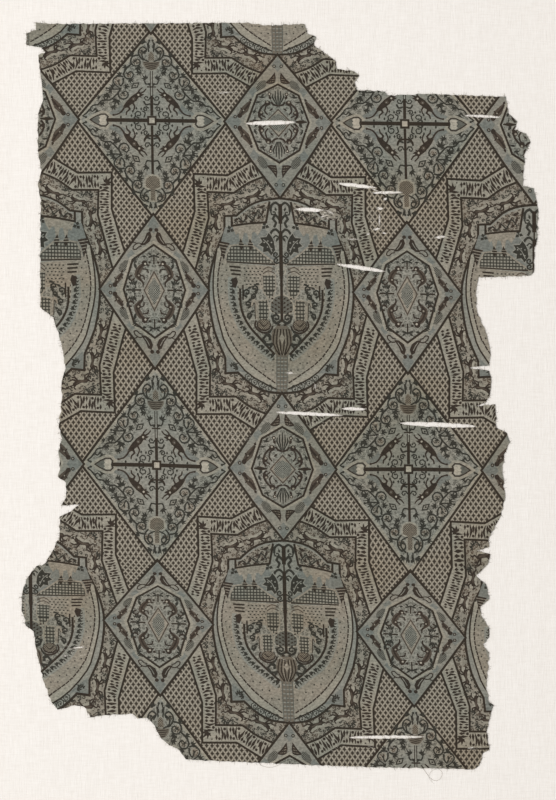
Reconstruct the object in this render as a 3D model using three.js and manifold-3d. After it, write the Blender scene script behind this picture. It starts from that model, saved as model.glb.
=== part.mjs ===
// A torn fragment of lampas-woven silk, laid flat on a linen-covered mount board in a plain narrow frame.
// Millimetres, +Z up. The frame lies on its back: the origin is the middle of its back face, the
// fragment's upper end is towards +Y and its woven face looks up +Z.
import * as THREE from "three";
import { mergeVertices } from "three/addons/utils/BufferGeometryUtils.js";
import Module from "manifold-3d";

const wasm = await Module();
wasm.setup();

// Driving sizes
const SIGHT_WIDTH = 540; // linen that shows inside the frame
const SIGHT_LENGTH = 760;
const FRAME_FACE = 20; // width of the moulding seen from the front
const FRAME_DEPTH = 25;
const FRAME_EDGE_RADIUS = 1.6;
const REBATE = 7.3; // how far the moulding's lip laps over the mount
const CLEARANCE = 0.3; // between pieces that touch
const MOUNT_RECESS = 4; // from the frame's back up to the mount's back
const BOARD_THICKNESS = 12;
const LINEN_THICKNESS = 1;
const LINEN_TURN_IN = 28; // linen folded round onto the board's back
const SILK_THICKNESS = 1;
const TEAR_STEP = 3; // spacing of the points along a torn edge

// Levels, from the surface that the frame lies on
const linenBack = MOUNT_RECESS;
const boardBack = linenBack + LINEN_THICKNESS + CLEARANCE;
const boardFront = boardBack + BOARD_THICKNESS;
const linenFront = boardFront + CLEARANCE + LINEN_THICKNESS;
const silkBack = linenFront + CLEARANCE;

// Plan sizes
const frameWidth = SIGHT_WIDTH + 2 * FRAME_FACE;
const frameLength = SIGHT_LENGTH + 2 * FRAME_FACE;
const mountWidth = SIGHT_WIDTH + 2 * (REBATE - CLEARANCE);
const mountLength = SIGHT_LENGTH + 2 * (REBATE - CLEARANCE);
const boardInset = LINEN_THICKNESS + CLEARANCE;

// The fragment's edge, clockwise from its upper left tip, seen from the front. Each row ends one stretch:
// x and y are its end, from the middle of the mount, and ragged is how far the torn threads stray.
const TOP_EDGE = [
  { x: -218, y: 340, ragged: 0.4 },
  { x: -202, y: 338.5, ragged: 0.4 },
  { x: -116, y: 339, ragged: 0.5 },
  { x: -27, y: 339.5, ragged: 0.5 },
  { x: -11, y: 337, ragged: 0.5 },
  { x: 24, y: 338.5, ragged: 0.5 },
  { x: 26, y: 330, ragged: 0.5 },
  { x: 34, y: 327, ragged: 0.5 },
  { x: 32, y: 319.5, ragged: 0.4 },
  { x: 45, y: 310, ragged: 0.6 },
  { x: 52, y: 305, ragged: 0.5 },
  { x: 52.5, y: 298, ragged: 0.5 },
  { x: 68, y: 296, ragged: 0.6 },
  { x: 73, y: 292, ragged: 0.4 },
  { x: 69, y: 286, ragged: 0.5 },
  { x: 71, y: 279, ragged: 0.5 },
  { x: 96, y: 278, ragged: 0.8 },
  { x: 98.5, y: 274, ragged: 0.4 },
  { x: 132, y: 275.5, ragged: 0.6 },
  { x: 205, y: 273, ragged: 0.5 },
];
const RIGHT_EDGE = [
  { x: 207.5, y: 258, ragged: 0.5 },
  { x: 215.5, y: 251, ragged: 0.5 },
  { x: 212.5, y: 243.5, ragged: 0.5 },
  { x: 223, y: 240, ragged: 0.5 },
  { x: 227.5, y: 232, ragged: 0.6 },
  { x: 222.5, y: 223, ragged: 0.6 },
  { x: 220, y: 192.5, ragged: 0.9 },
  { x: 230, y: 190.5, ragged: 0.5 },
  { x: 234, y: 172, ragged: 0.8 },
  { x: 233, y: 143, ragged: 1 },
  { x: 230.5, y: 134, ragged: 0.6 },
  { x: 230.5, y: 115, ragged: 0.7 },
  { x: 227.5, y: 112, ragged: 0.4 },
  { x: 180.5, y: 110.5, ragged: 0.6 },
  { x: 178, y: 94.5, ragged: 0.5 },
  { x: 179, y: 79, ragged: 0.5 },
  { x: 188, y: 58.5, ragged: 0.6 },
  { x: 191, y: 44, ragged: 0.6 },
  { x: 190, y: 31, ragged: 0.6 },
  { x: 169, y: 29, ragged: 0.2 },
  { x: 190, y: 26.5, ragged: 0.2 },
  { x: 192, y: 19, ragged: 0.6 },
  { x: 191, y: 5.5, ragged: 0.6 },
  { x: 187, y: -2, ragged: 0.5 },
  { x: 178.5, y: -5.5, ragged: 0.2 },
  { x: 195.5, y: -4, ragged: 0.4 },
  { x: 196.5, y: -25, ragged: 0.7 },
  { x: 206, y: -29.5, ragged: 0.5 },
  { x: 208.5, y: -38, ragged: 0.5 },
  { x: 203.5, y: -49, ragged: 0.6 },
  { x: 202, y: -65, ragged: 0.9 },
  { x: 204.5, y: -87, ragged: 0.9 },
  { x: 201, y: -103.5, ragged: 0.7 },
  { x: 190, y: -124, ragged: 0.9 },
  { x: 190, y: -132.5, ragged: 0.4 },
  { x: 178, y: -136, ragged: 0.3 },
  { x: 191, y: -138.5, ragged: 0.4 },
  { x: 189, y: -148, ragged: 0.6 },
  { x: 178, y: -158.5, ragged: 0.6 },
  { x: 187, y: -165.5, ragged: 0.5 },
  { x: 190, y: -179.5, ragged: 0.8 },
  { x: 182, y: -186, ragged: 0.5 },
  { x: 182.5, y: -194, ragged: 0.5 },
  { x: 190, y: -205, ragged: 0.6 },
  { x: 190, y: -213.5, ragged: 0.5 },
  { x: 184.5, y: -220, ragged: 0.5 },
  { x: 190, y: -227.5, ragged: 0.5 },
  { x: 187.5, y: -257.5, ragged: 1 },
  { x: 190, y: -272, ragged: 0.9 },
  { x: 194, y: -274.5, ragged: 0.4 },
  { x: 192.5, y: -279, ragged: 0.4 },
  { x: 187.5, y: -299, ragged: 1 },
  { x: 190, y: -315, ragged: 0.8 },
  { x: 184.5, y: -317.5, ragged: 0.4 },
  { x: 181, y: -329.5, ragged: 0.5 },
  { x: 175.5, y: -332.5, ragged: 0.4 },
];
const BOTTOM_EDGE = [
  { x: 64, y: -330, ragged: 0.4 },
  { x: -83, y: -323.5, ragged: 0.4 },
  { x: -90.5, y: -313.5, ragged: 0.6 },
  { x: -98, y: -311, ragged: 0.5 },
  { x: -106.5, y: -302.5, ragged: 0.7 },
  { x: -113, y: -291, ragged: 0.7 },
  { x: -118, y: -286, ragged: 0.6 },
  { x: -126.5, y: -286.5, ragged: 0.4 },
  { x: -130.5, y: -282.5, ragged: 0.4 },
  { x: -154, y: -283.5, ragged: 0.5 },
  { x: -169, y: -285.5, ragged: 0.4 },
  { x: -174.5, y: -276, ragged: 0.5 },
  { x: -183, y: -274.5, ragged: 0.4 },
  { x: -198.5, y: -278.5, ragged: 0.5 },
];
const LEFT_EDGE = [
  { x: -204, y: -272, ragged: 0.5 },
  { x: -212, y: -250, ragged: 0.7 },
  { x: -217.5, y: -224, ragged: 0.7 },
  { x: -220, y: -208.5, ragged: 0.6 },
  { x: -226.5, y: -203.5, ragged: 0.4 },
  { x: -230.5, y: -190, ragged: 0.4 },
  { x: -230.5, y: -174.5, ragged: 0.4 },
  { x: -226.5, y: -162, ragged: 0.4 },
  { x: -218, y: -149.5, ragged: 0.5 },
  { x: -210.5, y: -148, ragged: 0.4 },
  { x: -204, y: -138.5, ragged: 0.5 },
  { x: -196.5, y: -122.5, ragged: 0.5 },
  { x: -196.5, y: -105, ragged: 0.6 },
  { x: -186.5, y: -100, ragged: 0.4 },
  { x: -177.5, y: -93.5, ragged: 0.2 },
  { x: -195.5, y: -95.5, ragged: 0.4 },
  { x: -190.5, y: -87.5, ragged: 0.5 },
  { x: -191, y: -74.5, ragged: 0.6 },
  { x: -198.5, y: -69, ragged: 0.4 },
  { x: -196, y: -62, ragged: 0.5 },
  { x: -197.5, y: -46, ragged: 0.7 },
  { x: -194.5, y: -34.5, ragged: 0.5 },
  { x: -197.5, y: -24.5, ragged: 0.6 },
  { x: -194.5, y: 2, ragged: 0.8 },
  { x: -195, y: 17, ragged: 0.5 },
  { x: -191, y: 28.5, ragged: 0.5 },
  { x: -194.5, y: 49, ragged: 0.5 },
  { x: -202.5, y: 74.5, ragged: 0.5 },
  { x: -214, y: 83.5, ragged: 0.4 },
  { x: -214, y: 132.5, ragged: 0.6 },
  { x: -213.5, y: 180, ragged: 0.6 },
  { x: -216, y: 192.5, ragged: 0.5 },
  { x: -213, y: 207, ragged: 0.5 },
  { x: -216, y: 224.5, ragged: 0.6 },
  { x: -216, y: 258, ragged: 0.6 },
  { x: -211, y: 272, ragged: 0.5 },
  { x: -213, y: 288, ragged: 0.6 },
  { x: -216, y: 310.5, ragged: 0.6 },
  { x: -209.5, y: 312.5, ragged: 0.3 },
  { x: -213, y: 317, ragged: 0.3 },
  { x: -226.5, y: 319.5, ragged: 0.5 },
  { x: -226.5, y: 330, ragged: 0.5 },
  { x: -218, y: 333.5, ragged: 0.4 },
];

// Long tears along the weft, open down to the linen. x and y are the middle, rise is how much the right
// end lies above the left one, and gape is the opening at its widest.
const TEARS = [
  { x: -7, y: 249.5, length: 44, gape: 3.2, rise: 1.2 },
  { x: 184, y: 255.5, length: 32, gape: 1.6, rise: -1.5 },
  { x: 71, y: 193, length: 34, gape: 2.6, rise: -4 },
  { x: 98, y: 186.8, length: 26, gape: 1.6, rise: 0.4 },
  { x: 28, y: 171.3, length: 25, gape: 2.8, rise: -1 },
  { x: 74.5, y: 119, length: 43, gape: 2.8, rise: -6.5 },
  { x: 28, y: -12.5, length: 60, gape: 2.2, rise: -2.8 },
  { x: 68, y: -8, length: 21, gape: 2, rise: -0.5 },
  { x: 144, y: -22.3, length: 68, gape: 3.4, rise: -3 },
  { x: 98, y: -303.5, length: 68, gape: 2, rise: 0.5 },
];

// A wandering line between -1 and 1, for the stray of torn threads at a distance along the edge.
const stray = (along) =>
  0.55 * Math.sin(along * 1.31) + 0.3 * Math.sin(along * 3.7 + 1.1) + 0.15 * Math.sin(along * 0.37 + 2.3);

// The corners joined by stretches whose points stray sideways, as a closed list of Vector2.
function tornOutline(corners) {
  const points = [];
  let along = 0;
  corners.forEach((corner, i) => {
    const from = corners.at(i - 1);
    const start = new THREE.Vector2(from.x, from.y);
    const stretch = new THREE.Vector2(corner.x, corner.y).sub(start);
    const length = stretch.length();
    const sideways = new THREE.Vector2(-stretch.y, stretch.x).divideScalar(length);
    const steps = Math.max(1, Math.round(length / TEAR_STEP));
    for (let step = 0; step < steps; step++) {
      const share = step / steps;
      const swing = step ? corner.ragged * stray(along + share * length) : 0;
      points.push(start.clone().addScaledVector(stretch, share).addScaledVector(sideways, swing));
    }
    along += length;
  });
  return points;
}

// One tear as a pointed, slightly crooked slot, turned the other way round from the outline.
function tearSlot({ x, y, length, gape, rise }) {
  const steps = Math.round(length / TEAR_STEP);
  const lip = (step, side) => {
    const share = step / steps;
    const open = (side * gape * Math.sin(Math.PI * share) ** 0.6) / 2;
    const crook = 0.35 * stray(x + share * length + 5 * side) * Math.sin(Math.PI * share);
    return new THREE.Vector2(x + (share - 0.5) * length, y + (share - 0.5) * rise + open + crook);
  };
  const lower = Array.from({ length: steps + 1 }, (_, step) => lip(step, -1));
  const upper = Array.from({ length: steps - 1 }, (_, step) => lip(steps - 1 - step, 1));
  return new THREE.Path([...lower, ...upper]);
}

function piece(name, geometry, finish) {
  const mesh = new THREE.Mesh(geometry, new THREE.MeshStandardMaterial(finish));
  mesh.name = name;
  return mesh;
}

const SILK = { color: 0x6e6a60, roughness: 0.8, metalness: 0 };
const LINEN = { color: 0xf3eee7, roughness: 0.9, metalness: 0 };
const BOARD = { color: 0xd9d2c2, roughness: 0.9, metalness: 0 };
const WOOD = { color: 0xc9ad84, roughness: 0.5, metalness: 0 };

function silkFragment() {
  const outline = new THREE.Shape(tornOutline([...TOP_EDGE, ...RIGHT_EDGE, ...BOTTOM_EDGE, ...LEFT_EDGE]));
  outline.holes = TEARS.map(tearSlot);
  const cloth = new THREE.ExtrudeGeometry(outline, { depth: SILK_THICKNESS, bevelEnabled: false });
  const fragment = piece("silk_fragment", cloth, SILK);
  fragment.position.z = silkBack;
  return fragment;
}

// A box standing on a level, as a solid to cut with.
function boxSolid(width, length, low, high) {
  const box = new THREE.BoxGeometry(width, length, high - low).translate(0, 0, (low + high) / 2);
  box.deleteAttribute("normal");
  box.deleteAttribute("uv");
  const merged = mergeVertices(box);
  return new wasm.Manifold(
    new wasm.Mesh({
      numProp: 3,
      vertProperties: merged.attributes.position.array,
      triVerts: new Uint32Array(merged.index.array),
    }),
  );
}

function geometryOf(solid) {
  const mesh = solid.getMesh();
  return new THREE.BufferGeometry()
    .setAttribute("position", new THREE.BufferAttribute(mesh.vertProperties, 3))
    .setIndex(new THREE.BufferAttribute(mesh.triVerts, 1));
}

// Linen stretched over the board's front and edges and turned in on its back, round an open middle.
function linenCover() {
  const outside = boxSolid(mountWidth, mountLength, linenBack, linenFront);
  const boardRoom = boxSolid(
    mountWidth - 2 * LINEN_THICKNESS,
    mountLength - 2 * LINEN_THICKNESS,
    boardBack - CLEARANCE,
    boardFront + CLEARANCE,
  );
  const backOpening = boxSolid(
    mountWidth - 2 * LINEN_TURN_IN,
    mountLength - 2 * LINEN_TURN_IN,
    linenBack - LINEN_THICKNESS,
    boardFront,
  );
  return piece("linen_cover", geometryOf(outside.subtract(boardRoom).subtract(backOpening)), LINEN);
}

function mountBoard() {
  const board = new THREE.BoxGeometry(
    mountWidth - 2 * boardInset,
    mountLength - 2 * boardInset,
    BOARD_THICKNESS,
  );
  const mesh = piece("mount_board", board, BOARD);
  mesh.position.z = (boardBack + boardFront) / 2;
  return mesh;
}

// The moulding's section: x runs in from the frame's outer edge and y up from its back.
function mouldingSection() {
  const wall = FRAME_FACE - REBATE;
  const lipUnder = linenFront + CLEARANCE;
  const radius = FRAME_EDGE_RADIUS;
  const section = new THREE.Shape();
  section.moveTo(0, 0);
  section.lineTo(wall, 0);
  section.lineTo(wall, lipUnder);
  section.lineTo(FRAME_FACE, lipUnder);
  section.lineTo(FRAME_FACE, FRAME_DEPTH - radius);
  section.absarc(FRAME_FACE - radius, FRAME_DEPTH - radius, radius, 0, Math.PI / 2, false);
  section.lineTo(radius, FRAME_DEPTH);
  section.absarc(radius, FRAME_DEPTH - radius, radius, Math.PI / 2, Math.PI, false);
  return section;
}

// One side of the frame, its ends cut at 45 degrees: run is its outer length, and out its distance from
// the middle. It is made along Y on the left and then turned about the middle.
function frameSide(name, run, out, turn) {
  const straight = { depth: 1, bevelEnabled: false, curveSegments: 5 };
  const rail = new THREE.ExtrudeGeometry(mouldingSection(), straight);
  const corners = rail.getAttribute("position");
  for (let i = 0; i < corners.count; i++) {
    const inwards = corners.getX(i);
    const up = corners.getY(i);
    const end = corners.getZ(i) > 0.5 ? -1 : 1;
    const mitre = run / 2 - inwards - CLEARANCE / 2;
    corners.setXYZ(i, inwards - out, end * mitre, up);
  }
  const side = piece(name, rail, WOOD);
  side.rotation.z = turn;
  return side;
}

const framedFragment = new THREE.Group();
framedFragment.add(
  silkFragment(),
  linenCover(),
  mountBoard(),
  frameSide("frame_left", frameLength, frameWidth / 2, 0),
  frameSide("frame_bottom", frameWidth, frameLength / 2, Math.PI / 2),
  frameSide("frame_right", frameLength, frameWidth / 2, Math.PI),
  frameSide("frame_top", frameWidth, frameLength / 2, -Math.PI / 2),
);

export default framedFragment;
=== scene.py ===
"""A torn fragment of lampas-woven silk, laid on a linen-covered mount in a plain wooden frame.

Metres, +Z up. The frame lies on its back and the fragment's upper end is towards +Y. The silk's pattern
is charted in steps of the weaver's chart. Chart points are complex numbers x + 1j * y, x to the
right and y down as the cloth is seen. A motif is a list of shapes, each of them (points, yarn), from the
ground up.
"""
import cmath
import math
import random

import bpy
import numpy as np
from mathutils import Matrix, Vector
from mathutils.geometry import delaunay_2d_cdt


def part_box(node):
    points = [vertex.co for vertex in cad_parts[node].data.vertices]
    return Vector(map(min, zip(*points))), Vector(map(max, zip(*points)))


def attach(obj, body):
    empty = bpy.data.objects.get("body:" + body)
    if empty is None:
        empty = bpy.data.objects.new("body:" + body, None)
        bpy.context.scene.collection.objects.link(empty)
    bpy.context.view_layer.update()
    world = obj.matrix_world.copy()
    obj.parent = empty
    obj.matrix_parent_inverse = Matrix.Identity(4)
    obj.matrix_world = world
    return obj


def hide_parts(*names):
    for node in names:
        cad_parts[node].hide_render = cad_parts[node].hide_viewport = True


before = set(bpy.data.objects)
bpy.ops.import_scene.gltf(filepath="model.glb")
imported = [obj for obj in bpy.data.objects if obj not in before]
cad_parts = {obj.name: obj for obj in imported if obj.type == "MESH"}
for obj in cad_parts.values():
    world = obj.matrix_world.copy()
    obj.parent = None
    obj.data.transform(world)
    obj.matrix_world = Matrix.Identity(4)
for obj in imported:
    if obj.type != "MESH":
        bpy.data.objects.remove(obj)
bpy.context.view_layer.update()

# The weaver's chart
STEP = 0.0009  # one step of the chart on the cloth
HALF_WIDTH = 127.3  # half the repeat, in steps
HALF_LENGTH = 172
SCROLL_DIAMOND = (76, 98)  # half width and half height
LONG_DIAMOND = (55, 78)
BIRD_DIAMOND = (54.5, 74)


def table(columns, rows):
    """The rows as dictionaries with the columns' names."""
    return [dict(zip(columns, row)) for row in rows]


# Where the woven rows lie on the mount, in steps: the cloth was beaten up unevenly. chart is the row's place
# on the chart. left and right are how far below the mount's middle it lies at the first and the third column
# of diamonds, and sag how far the column between hangs below the straight line. The rest are how far the
# first, the second and the third column stray to the right.
ROW_COLUMNS = ("chart", "left", "right", "sag", "stray_left", "stray", "stray_right")
WOVEN_ROWS = table(
    ROW_COLUMNS,
    (
        (-520, -781, -777, 0, 0, 0, 0),
        (-172, -442, -438, 0, 0.9, 0, -0.9),
        (-94, -366, -362, 0, 0.9, 0, -0.9),
        (0, -279.7, -276.5, 0.2, 0.9, 0, -0.9),
        (74, -203.8, -198.1, -0.8, 1.1, 0.8, 0),
        (94, -186.4, -178, -0.6, 1.1, 0.8, 0),
        (172, -110.2, -106.5, -1, 1.1, 1.2, -0.6),
        (232, -49.6, -44.6, 2.4, 1.1, 1, -0.6),
        (250, -30.9, -26.2, 1, 0.9, 0.4, -0.9),
        (270, -9.4, -5.4, 0.2, 1.1, 0.2, -0.9),
        (344, 65.2, 69.2, 2.6, 1.4, 0, -1.4),
        (418, 137.2, 143.2, 0.4, 0.8, 0, -0.8),
        (438, 160.5, 171.2, -7.6, 0.8, 0, -0.8),
        (516, 222.8, 235.1, -2, 1.1, 0.9, -1.3),
        (576, 279, 290.4, -3.2, 1.7, 2, 0),
        (594, 295.7, 306.6, 1.4, 2, 2.8, 1.4),
        (614, 318, 325, 1, 2, 3.4, 2),
        (688, 395, 400, 0, 2, 3.6, 2.4),
        (1040, 750, 755, 0, 2, 3.6, 2.4),
    ),
)
MIDDLE_ROW = -281  # the first scroll diamond's middle, in steps below the mount's middle
FIRST_COLUMN = -127  # the first scroll diamond's middle, in steps right of the mount's middle
LEAN = 0.0125  # how far the warp leans to the right for each step down
STAR_PITCH = (5.33, 3.75)  # the star lattice, in steps: along a row, and from row to row
STAR_REACH = (2.3, 2.7)

# Yarns and the grounds they weave, as sRGB
YARNS = {
    "line": (48, 40, 31),
    "stars": (113, 106, 94),
    "vines": (134, 127, 114),
    "grid": (136, 132, 119),
    "dots": (112, 109, 99),
    "specks": (134, 132, 121),
    "clay": (126, 115, 100),
    "sprays": (136, 133, 122),
    "scroll": (50, 48, 41),
    "hound": (52, 43, 35),
    "lotus": (76, 66, 56),
    "straw": (139, 131, 117),
    "pale": (144, 138, 124),
    "cream": (164, 156, 141),
    "ash": (131, 127, 116),
    "dove": (131, 129, 119),
    "blue": (113, 114, 107),
    "smoke": (92, 91, 83),
    "ochre": (102, 94, 82),
}
# Grounds with small figures all over, and which figures
FIGURED = {"stars": 1, "vines": 2, "grid": 3, "dots": 4, "specks": 4, "clay": 4, "sprays": 5, "straw": 6}
STAR = (53, 46, 37)
STAR_LATTICE = (150, 142, 127)


# Drawing on the chart

def unit(z):
    return z / abs(z) if z else 0


def ribbon(points, width):
    """Four-sided pieces of a line of that width. Width may be a function of the share of the way."""
    left, right = [], []
    last = len(points) - 1
    for i, point in enumerate(points):
        before = unit(point - points[i - 1]) if i else 0
        after = unit(points[i + 1] - point) if i < last else 0
        along = unit(before + after) or after
        lean = (along.conjugate() * (after or before)).real
        half = (width(i / last) if callable(width) else width) / 2 / max(lean, 0.5)
        left.append(point + 1j * along * half)
        right.append(point - 1j * along * half)
    pieces = []
    for i in range(last):
        along = (points[i + 1] - points[i]).conjugate()
        if min(((side[i + 1] - side[i]) * along).real for side in (left, right)) > 0:
            pieces.append([left[i], left[i + 1], right[i + 1], right[i]])
    return pieces


def line(points, width, yarn="scroll"):
    return [(piece, yarn) for piece in ribbon(points, width)]


def tapered(width, tip):
    return lambda share: width * (1 - (1 - tip) * share)


def swelling(width, ends):
    return lambda share: width * (ends + (1 - ends) * math.sin(math.pi * share))


def bend(points, per=3):
    """A smooth line through the points."""
    padded = [2 * points[0] - points[1], *points, 2 * points[-1] - points[-2]]
    smooth = []
    for a, b, c, d in zip(padded, padded[1:], padded[2:], padded[3:]):
        for k in range(per):
            t = k / per
            smooth.append(
                b + 0.5 * t * (c - a + t * (2 * a - 5 * b + 4 * c - d + t * (3 * (b - c) + d - a)))
            )
    return smooth + [points[-1]]


def disc(centre, radius, yarn="scroll", sides=5):
    return [([centre + radius * cmath.exp(2j * math.pi * k / sides) for k in range(sides)], yarn)]


def oval(centre, half_width, half_height, yarn, sides=8):
    ring = disc(0, 1, yarn, sides)[0][0]
    return [([centre + complex(half_width * p.real, half_height * p.imag) for p in ring], yarn)]


def leaf(root, tip, width, yarn="scroll", belly=0.45):
    """A pointed leaf with its belly part of the way from root to tip."""
    middle = root + (tip - root) * belly
    side = 1j * unit(tip - root) * width / 2
    return [([root, middle + side, tip, middle - side], yarn)]


def grown(points, distance):
    """A closed outline moved outwards by a distance."""
    turned = sum((a.conjugate() * b).imag for a, b in zip(points, points[1:] + points[:1]))
    side = -1j if turned > 0 else 1j
    moved = []
    for before, point, after in zip(points[-1:] + points, points, points[1:] + points[:1]):
        first, second = unit(point - before), unit(after - point)
        along = unit(first + second)
        lean = max((along.conjugate() * second).real, 0.35)
        moved.append(point + side * along * distance / lean)
    return moved


def bordered(points, width, fill, yarn="line"):
    """A filled outline with a line of that width along it."""
    return [(grown(points, width / 2), yarn), (grown(points, -width / 2), fill)]


def diamond(half_width, half_height, bow=0.0):
    """A diamond whose sides stand out by bow at their middle."""
    corners = [complex(half_width), 1j * half_height, complex(-half_width), -1j * half_height]
    if not bow:
        return corners
    points = []
    for a, b in zip(corners, corners[1:] + corners[:1]):
        points += [a, (a + b) / 2 * (1 + bow / abs((a + b) / 2))]
    return points


def curl(start, centre, turns, inner, per_turn=6):
    """A spiral from start in round the centre. Negative turns go the other way."""
    arm = start - centre
    count = max(4, round(abs(turns) * per_turn))
    return [
        centre + arm * (1 - (1 - inner) * k / count) * cmath.exp(2j * math.pi * turns * k / count)
        for k in range(count + 1)
    ]


def tendril(start, centre, turns, width, inner=0.25, bud=1.0):
    path = curl(start, centre, turns, inner)
    return line(path, tapered(width, 0.7)) + disc(path[-1], bud)


# Placing motifs

def placed(motif, at=0, turn=1, flip=False):
    """The motif turned and enlarged by a complex factor, after a flip top to bottom, and moved."""
    return [
        ([at + turn * (p.conjugate() if flip else p) for p in points], yarn) for points, yarn in motif
    ]


def both_sides(motif):
    """The motif and its mirror image across the warp line through the middle."""
    return motif + placed(motif, turn=-1, flip=True)


def four_ways(motif):
    halves = both_sides(motif)
    return halves + placed(halves, flip=True)


class Walk:
    """Steps along a line of points by distance."""

    def __init__(self, points):
        self.points = points
        self.marks = [0]
        for a, b in zip(points, points[1:]):
            self.marks.append(self.marks[-1] + abs(b - a))
        self.length = self.marks[-1]

    def at(self, distance):
        """The point there and the direction of the line."""
        distance = min(max(distance, 0), self.length)
        i = max(k for k, mark in enumerate(self.marks[:-1]) if mark <= distance)
        along = unit(self.points[i + 1] - self.points[i])
        return self.points[i] + along * (distance - self.marks[i]), along


def running_scroll(path, radius):
    """A vine that waves along the path, with a curl in each bay."""
    walk = Walk(path)
    bays = max(2, round(walk.length / (2.25 * radius)))
    pitch = walk.length / bays
    stem, curls = [], []
    for k in range(bays * 4 + 1):
        point, along = walk.at(k * pitch / 4)
        stem.append(point + 1j * along * radius * math.sin(math.pi * k / 4))
    for bay in range(bays):
        centre, along = walk.at((bay + 0.5) * pitch)
        way = (-1) ** bay
        start = centre - along * pitch * 0.5
        curls += tendril(start, centre - 0.12j * along * way * radius, way * 1.25, 0.9, 0.22)
    return line(stem, 1) + curls


# Motifs

def hound():
    """A running hound about 27 steps long, its nose towards +x, its back towards -y."""
    motif = line([-9, -1j, 7 - 3j, 12 - 4j], 9, "pale")
    body = [-10.6 - 0.8j, -7 - 3.2j, -1 - 2.2j, 5 - 4.2j, 8.6 - 7j, 10.6 - 5.6j, 8.8 - 1.4j, 4 + 1.2j,
            -3 + 0.6j, -8 + 1.8j]
    motif += [(body, "hound")] + leaf(8 - 5.6j, 14.6 - 4j, 4, "hound", 0.3)
    motif += leaf(9 - 5.6j, 6.4 - 9.6j, 2, "hound")
    motif += line([5 - 2.4j, -1 - 0.8j, -7.4 - 0.8j], swelling(2.4, 0.5), "lotus")
    motif += line([4 + 0j, 9 + 2.4j, 13.4 + 1j], tapered(2.1, 0.6), "hound")
    motif += line([3 + 0.6j, 5.6 + 4.4j, 9.4 + 4.6j], tapered(2.1, 0.6), "hound")
    motif += line([-6.6 + 0.6j, -9.4 + 3.8j, -13.6 + 3.2j], tapered(2.2, 0.6), "hound")
    motif += line([-5.6 + 1j, -6.4 + 5j, -10.4 + 6.4j], tapered(2.2, 0.6), "hound")
    motif += line(bend([-9.4 - 0.6j, -12.4 - 2.6j, -15 - 1.6j, -17 - 4j], 2), tapered(1.6, 0.6), "hound")
    return motif + disc(9.6 - 5.2j, 1, "pale", 5)


def lion():
    """A sitting hound seen from the side, head up at -y, 20 steps high, its chest towards +x."""
    body = bend([3.6 - 7.4j, 0.4 - 5j, -2.2 - 0.6j, -3 + 4j, 0.6 + 8j], 2)
    motif = line(body, swelling(5.4, 0.5), "lotus") + line(body, 1.6, "hound") + disc(-1.6 + 3.6j, 2.5,
                                                                                      "hound", 7)
    motif += line(bend([0.6 + 8j, 2.6 + 11j, 2 + 14j], 2), tapered(2.2, 0.5), "hound")
    motif += disc(4 - 8.6j, 2.9, "hound", 7) + leaf(4.6 - 7.6j, 9 - 6j, 2.2, "hound")
    motif += disc(4.6 - 8j, 1.1, "cream", 5)
    motif += line(bend([2 - 3j, 6.4 - 2.4j, 7.4 + 1j], 2), 1.3, "hound")
    motif += line(bend([-0.6 + 3j, 3 + 4j, 3.6 + 7.6j], 2), 1.2, "hound")
    return motif + disc(-1.6 + 3.4j, 1, "straw", 5)


def bird():
    """A bird about 19 steps long with its head at -y, and a curled beast in outline under its tail."""
    body = [0.3 - 8.6j, 3.6 - 6.6j, 5.6 - 0.4j, 10 + 6.8j, 4.6 + 5.8j, 0.4 + 2.2j, -1.6 - 3.4j]
    motif = [(body, "hound")] + disc(-0.2 - 10.2j, 2.1, "hound", 7) + line([2 - 4j, 4 + 0.6j, 6.4 + 4j],
                                                                           0.7, "ash")
    motif += line(bend([8.6 + 4.6j, 12 + 4.4j, 15.6 + 7j, 16.6 + 10.6j, 13.6 + 11j, 11.4 + 8.4j, 8 + 7.4j],
                       2), 1.2, "hound")
    return motif + line(bend([13 + 5j, 16.6 + 3.6j, 19 + 6.6j], 2), 1.1, "hound") + disc(12.4 + 7j, 0.9,
                                                                                         "straw", 4)


def wing():
    """A hatched wing 11 steps wide and 13 high, its straight edge towards -x."""
    motif = [([0.2 - 6.6j, 3 - 2.4j, 6 + 1.4j, 10.6 + 5.6j, 5.6 + 6.4j, 0.2 + 6j, -0.8], "hound")]
    for y in (-1.6, 1, 3.6):
        motif += line([complex(0.4, y), complex(3.6 + y * 0.8, y + 0.8)], 0.8, "clay")
    return motif


def sprig(yarn="scroll"):
    """Five leaves fanned about a root, towards -y, 8 steps high."""
    motif = []
    for angle, length in ((-75, 5), (-38, 7), (0, 8), (38, 7), (75, 5)):
        motif += leaf(0.4j, -1j * length * cmath.exp(1j * math.radians(angle)), 2.4, yarn)
    return motif


def acanthus(length):
    """A curled leaf with lobes on its outer side, from the origin towards -y, curling to +x."""
    spine = bend([0, -1.4 - length * 0.3j, -0.6 - length * 0.66j, 2.6 - length * 0.94j,
                  5.4 - length * 0.8j], 2)
    motif = line(spine, tapered(1.9, 0.6))
    for share, reach in ((0.16, 3.2), (0.36, 3.8), (0.56, 3.8), (0.76, 3)):
        root, along = Walk(spine).at(share * abs(length) * 1.25)
        motif += leaf(root, root + along * 1.6 - 1j * along * reach, 2.2)
    root, along = Walk(spine).at(length * 0.6)
    return motif + leaf(root, root + along + 1j * along * 3, 1.8) + disc(spine[-1], 1.3)


def basket():
    """A striped bowl of leaves 16 steps wide and 9 high, opening towards -y."""
    bowl = [-8.4 - 4.6j, -8 - 1j, -5 + 3.4j, -2 + 4.6j, 2 + 4.6j, 5 + 3.4j, 8 - 1j, 8.4 - 4.6j]
    motif = [(grown(bowl, 1), "ash"), (bowl, "ochre")]
    for row in range(4):
        half = 7.6 - 1.1 * row
        ridge = [complex(-half, -3.4 + 2 * row), complex(0, -2.4 + 2 * row), complex(half, -3.4 + 2 * row)]
        motif += line(ridge, 0.9, "line")
    return motif


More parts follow.
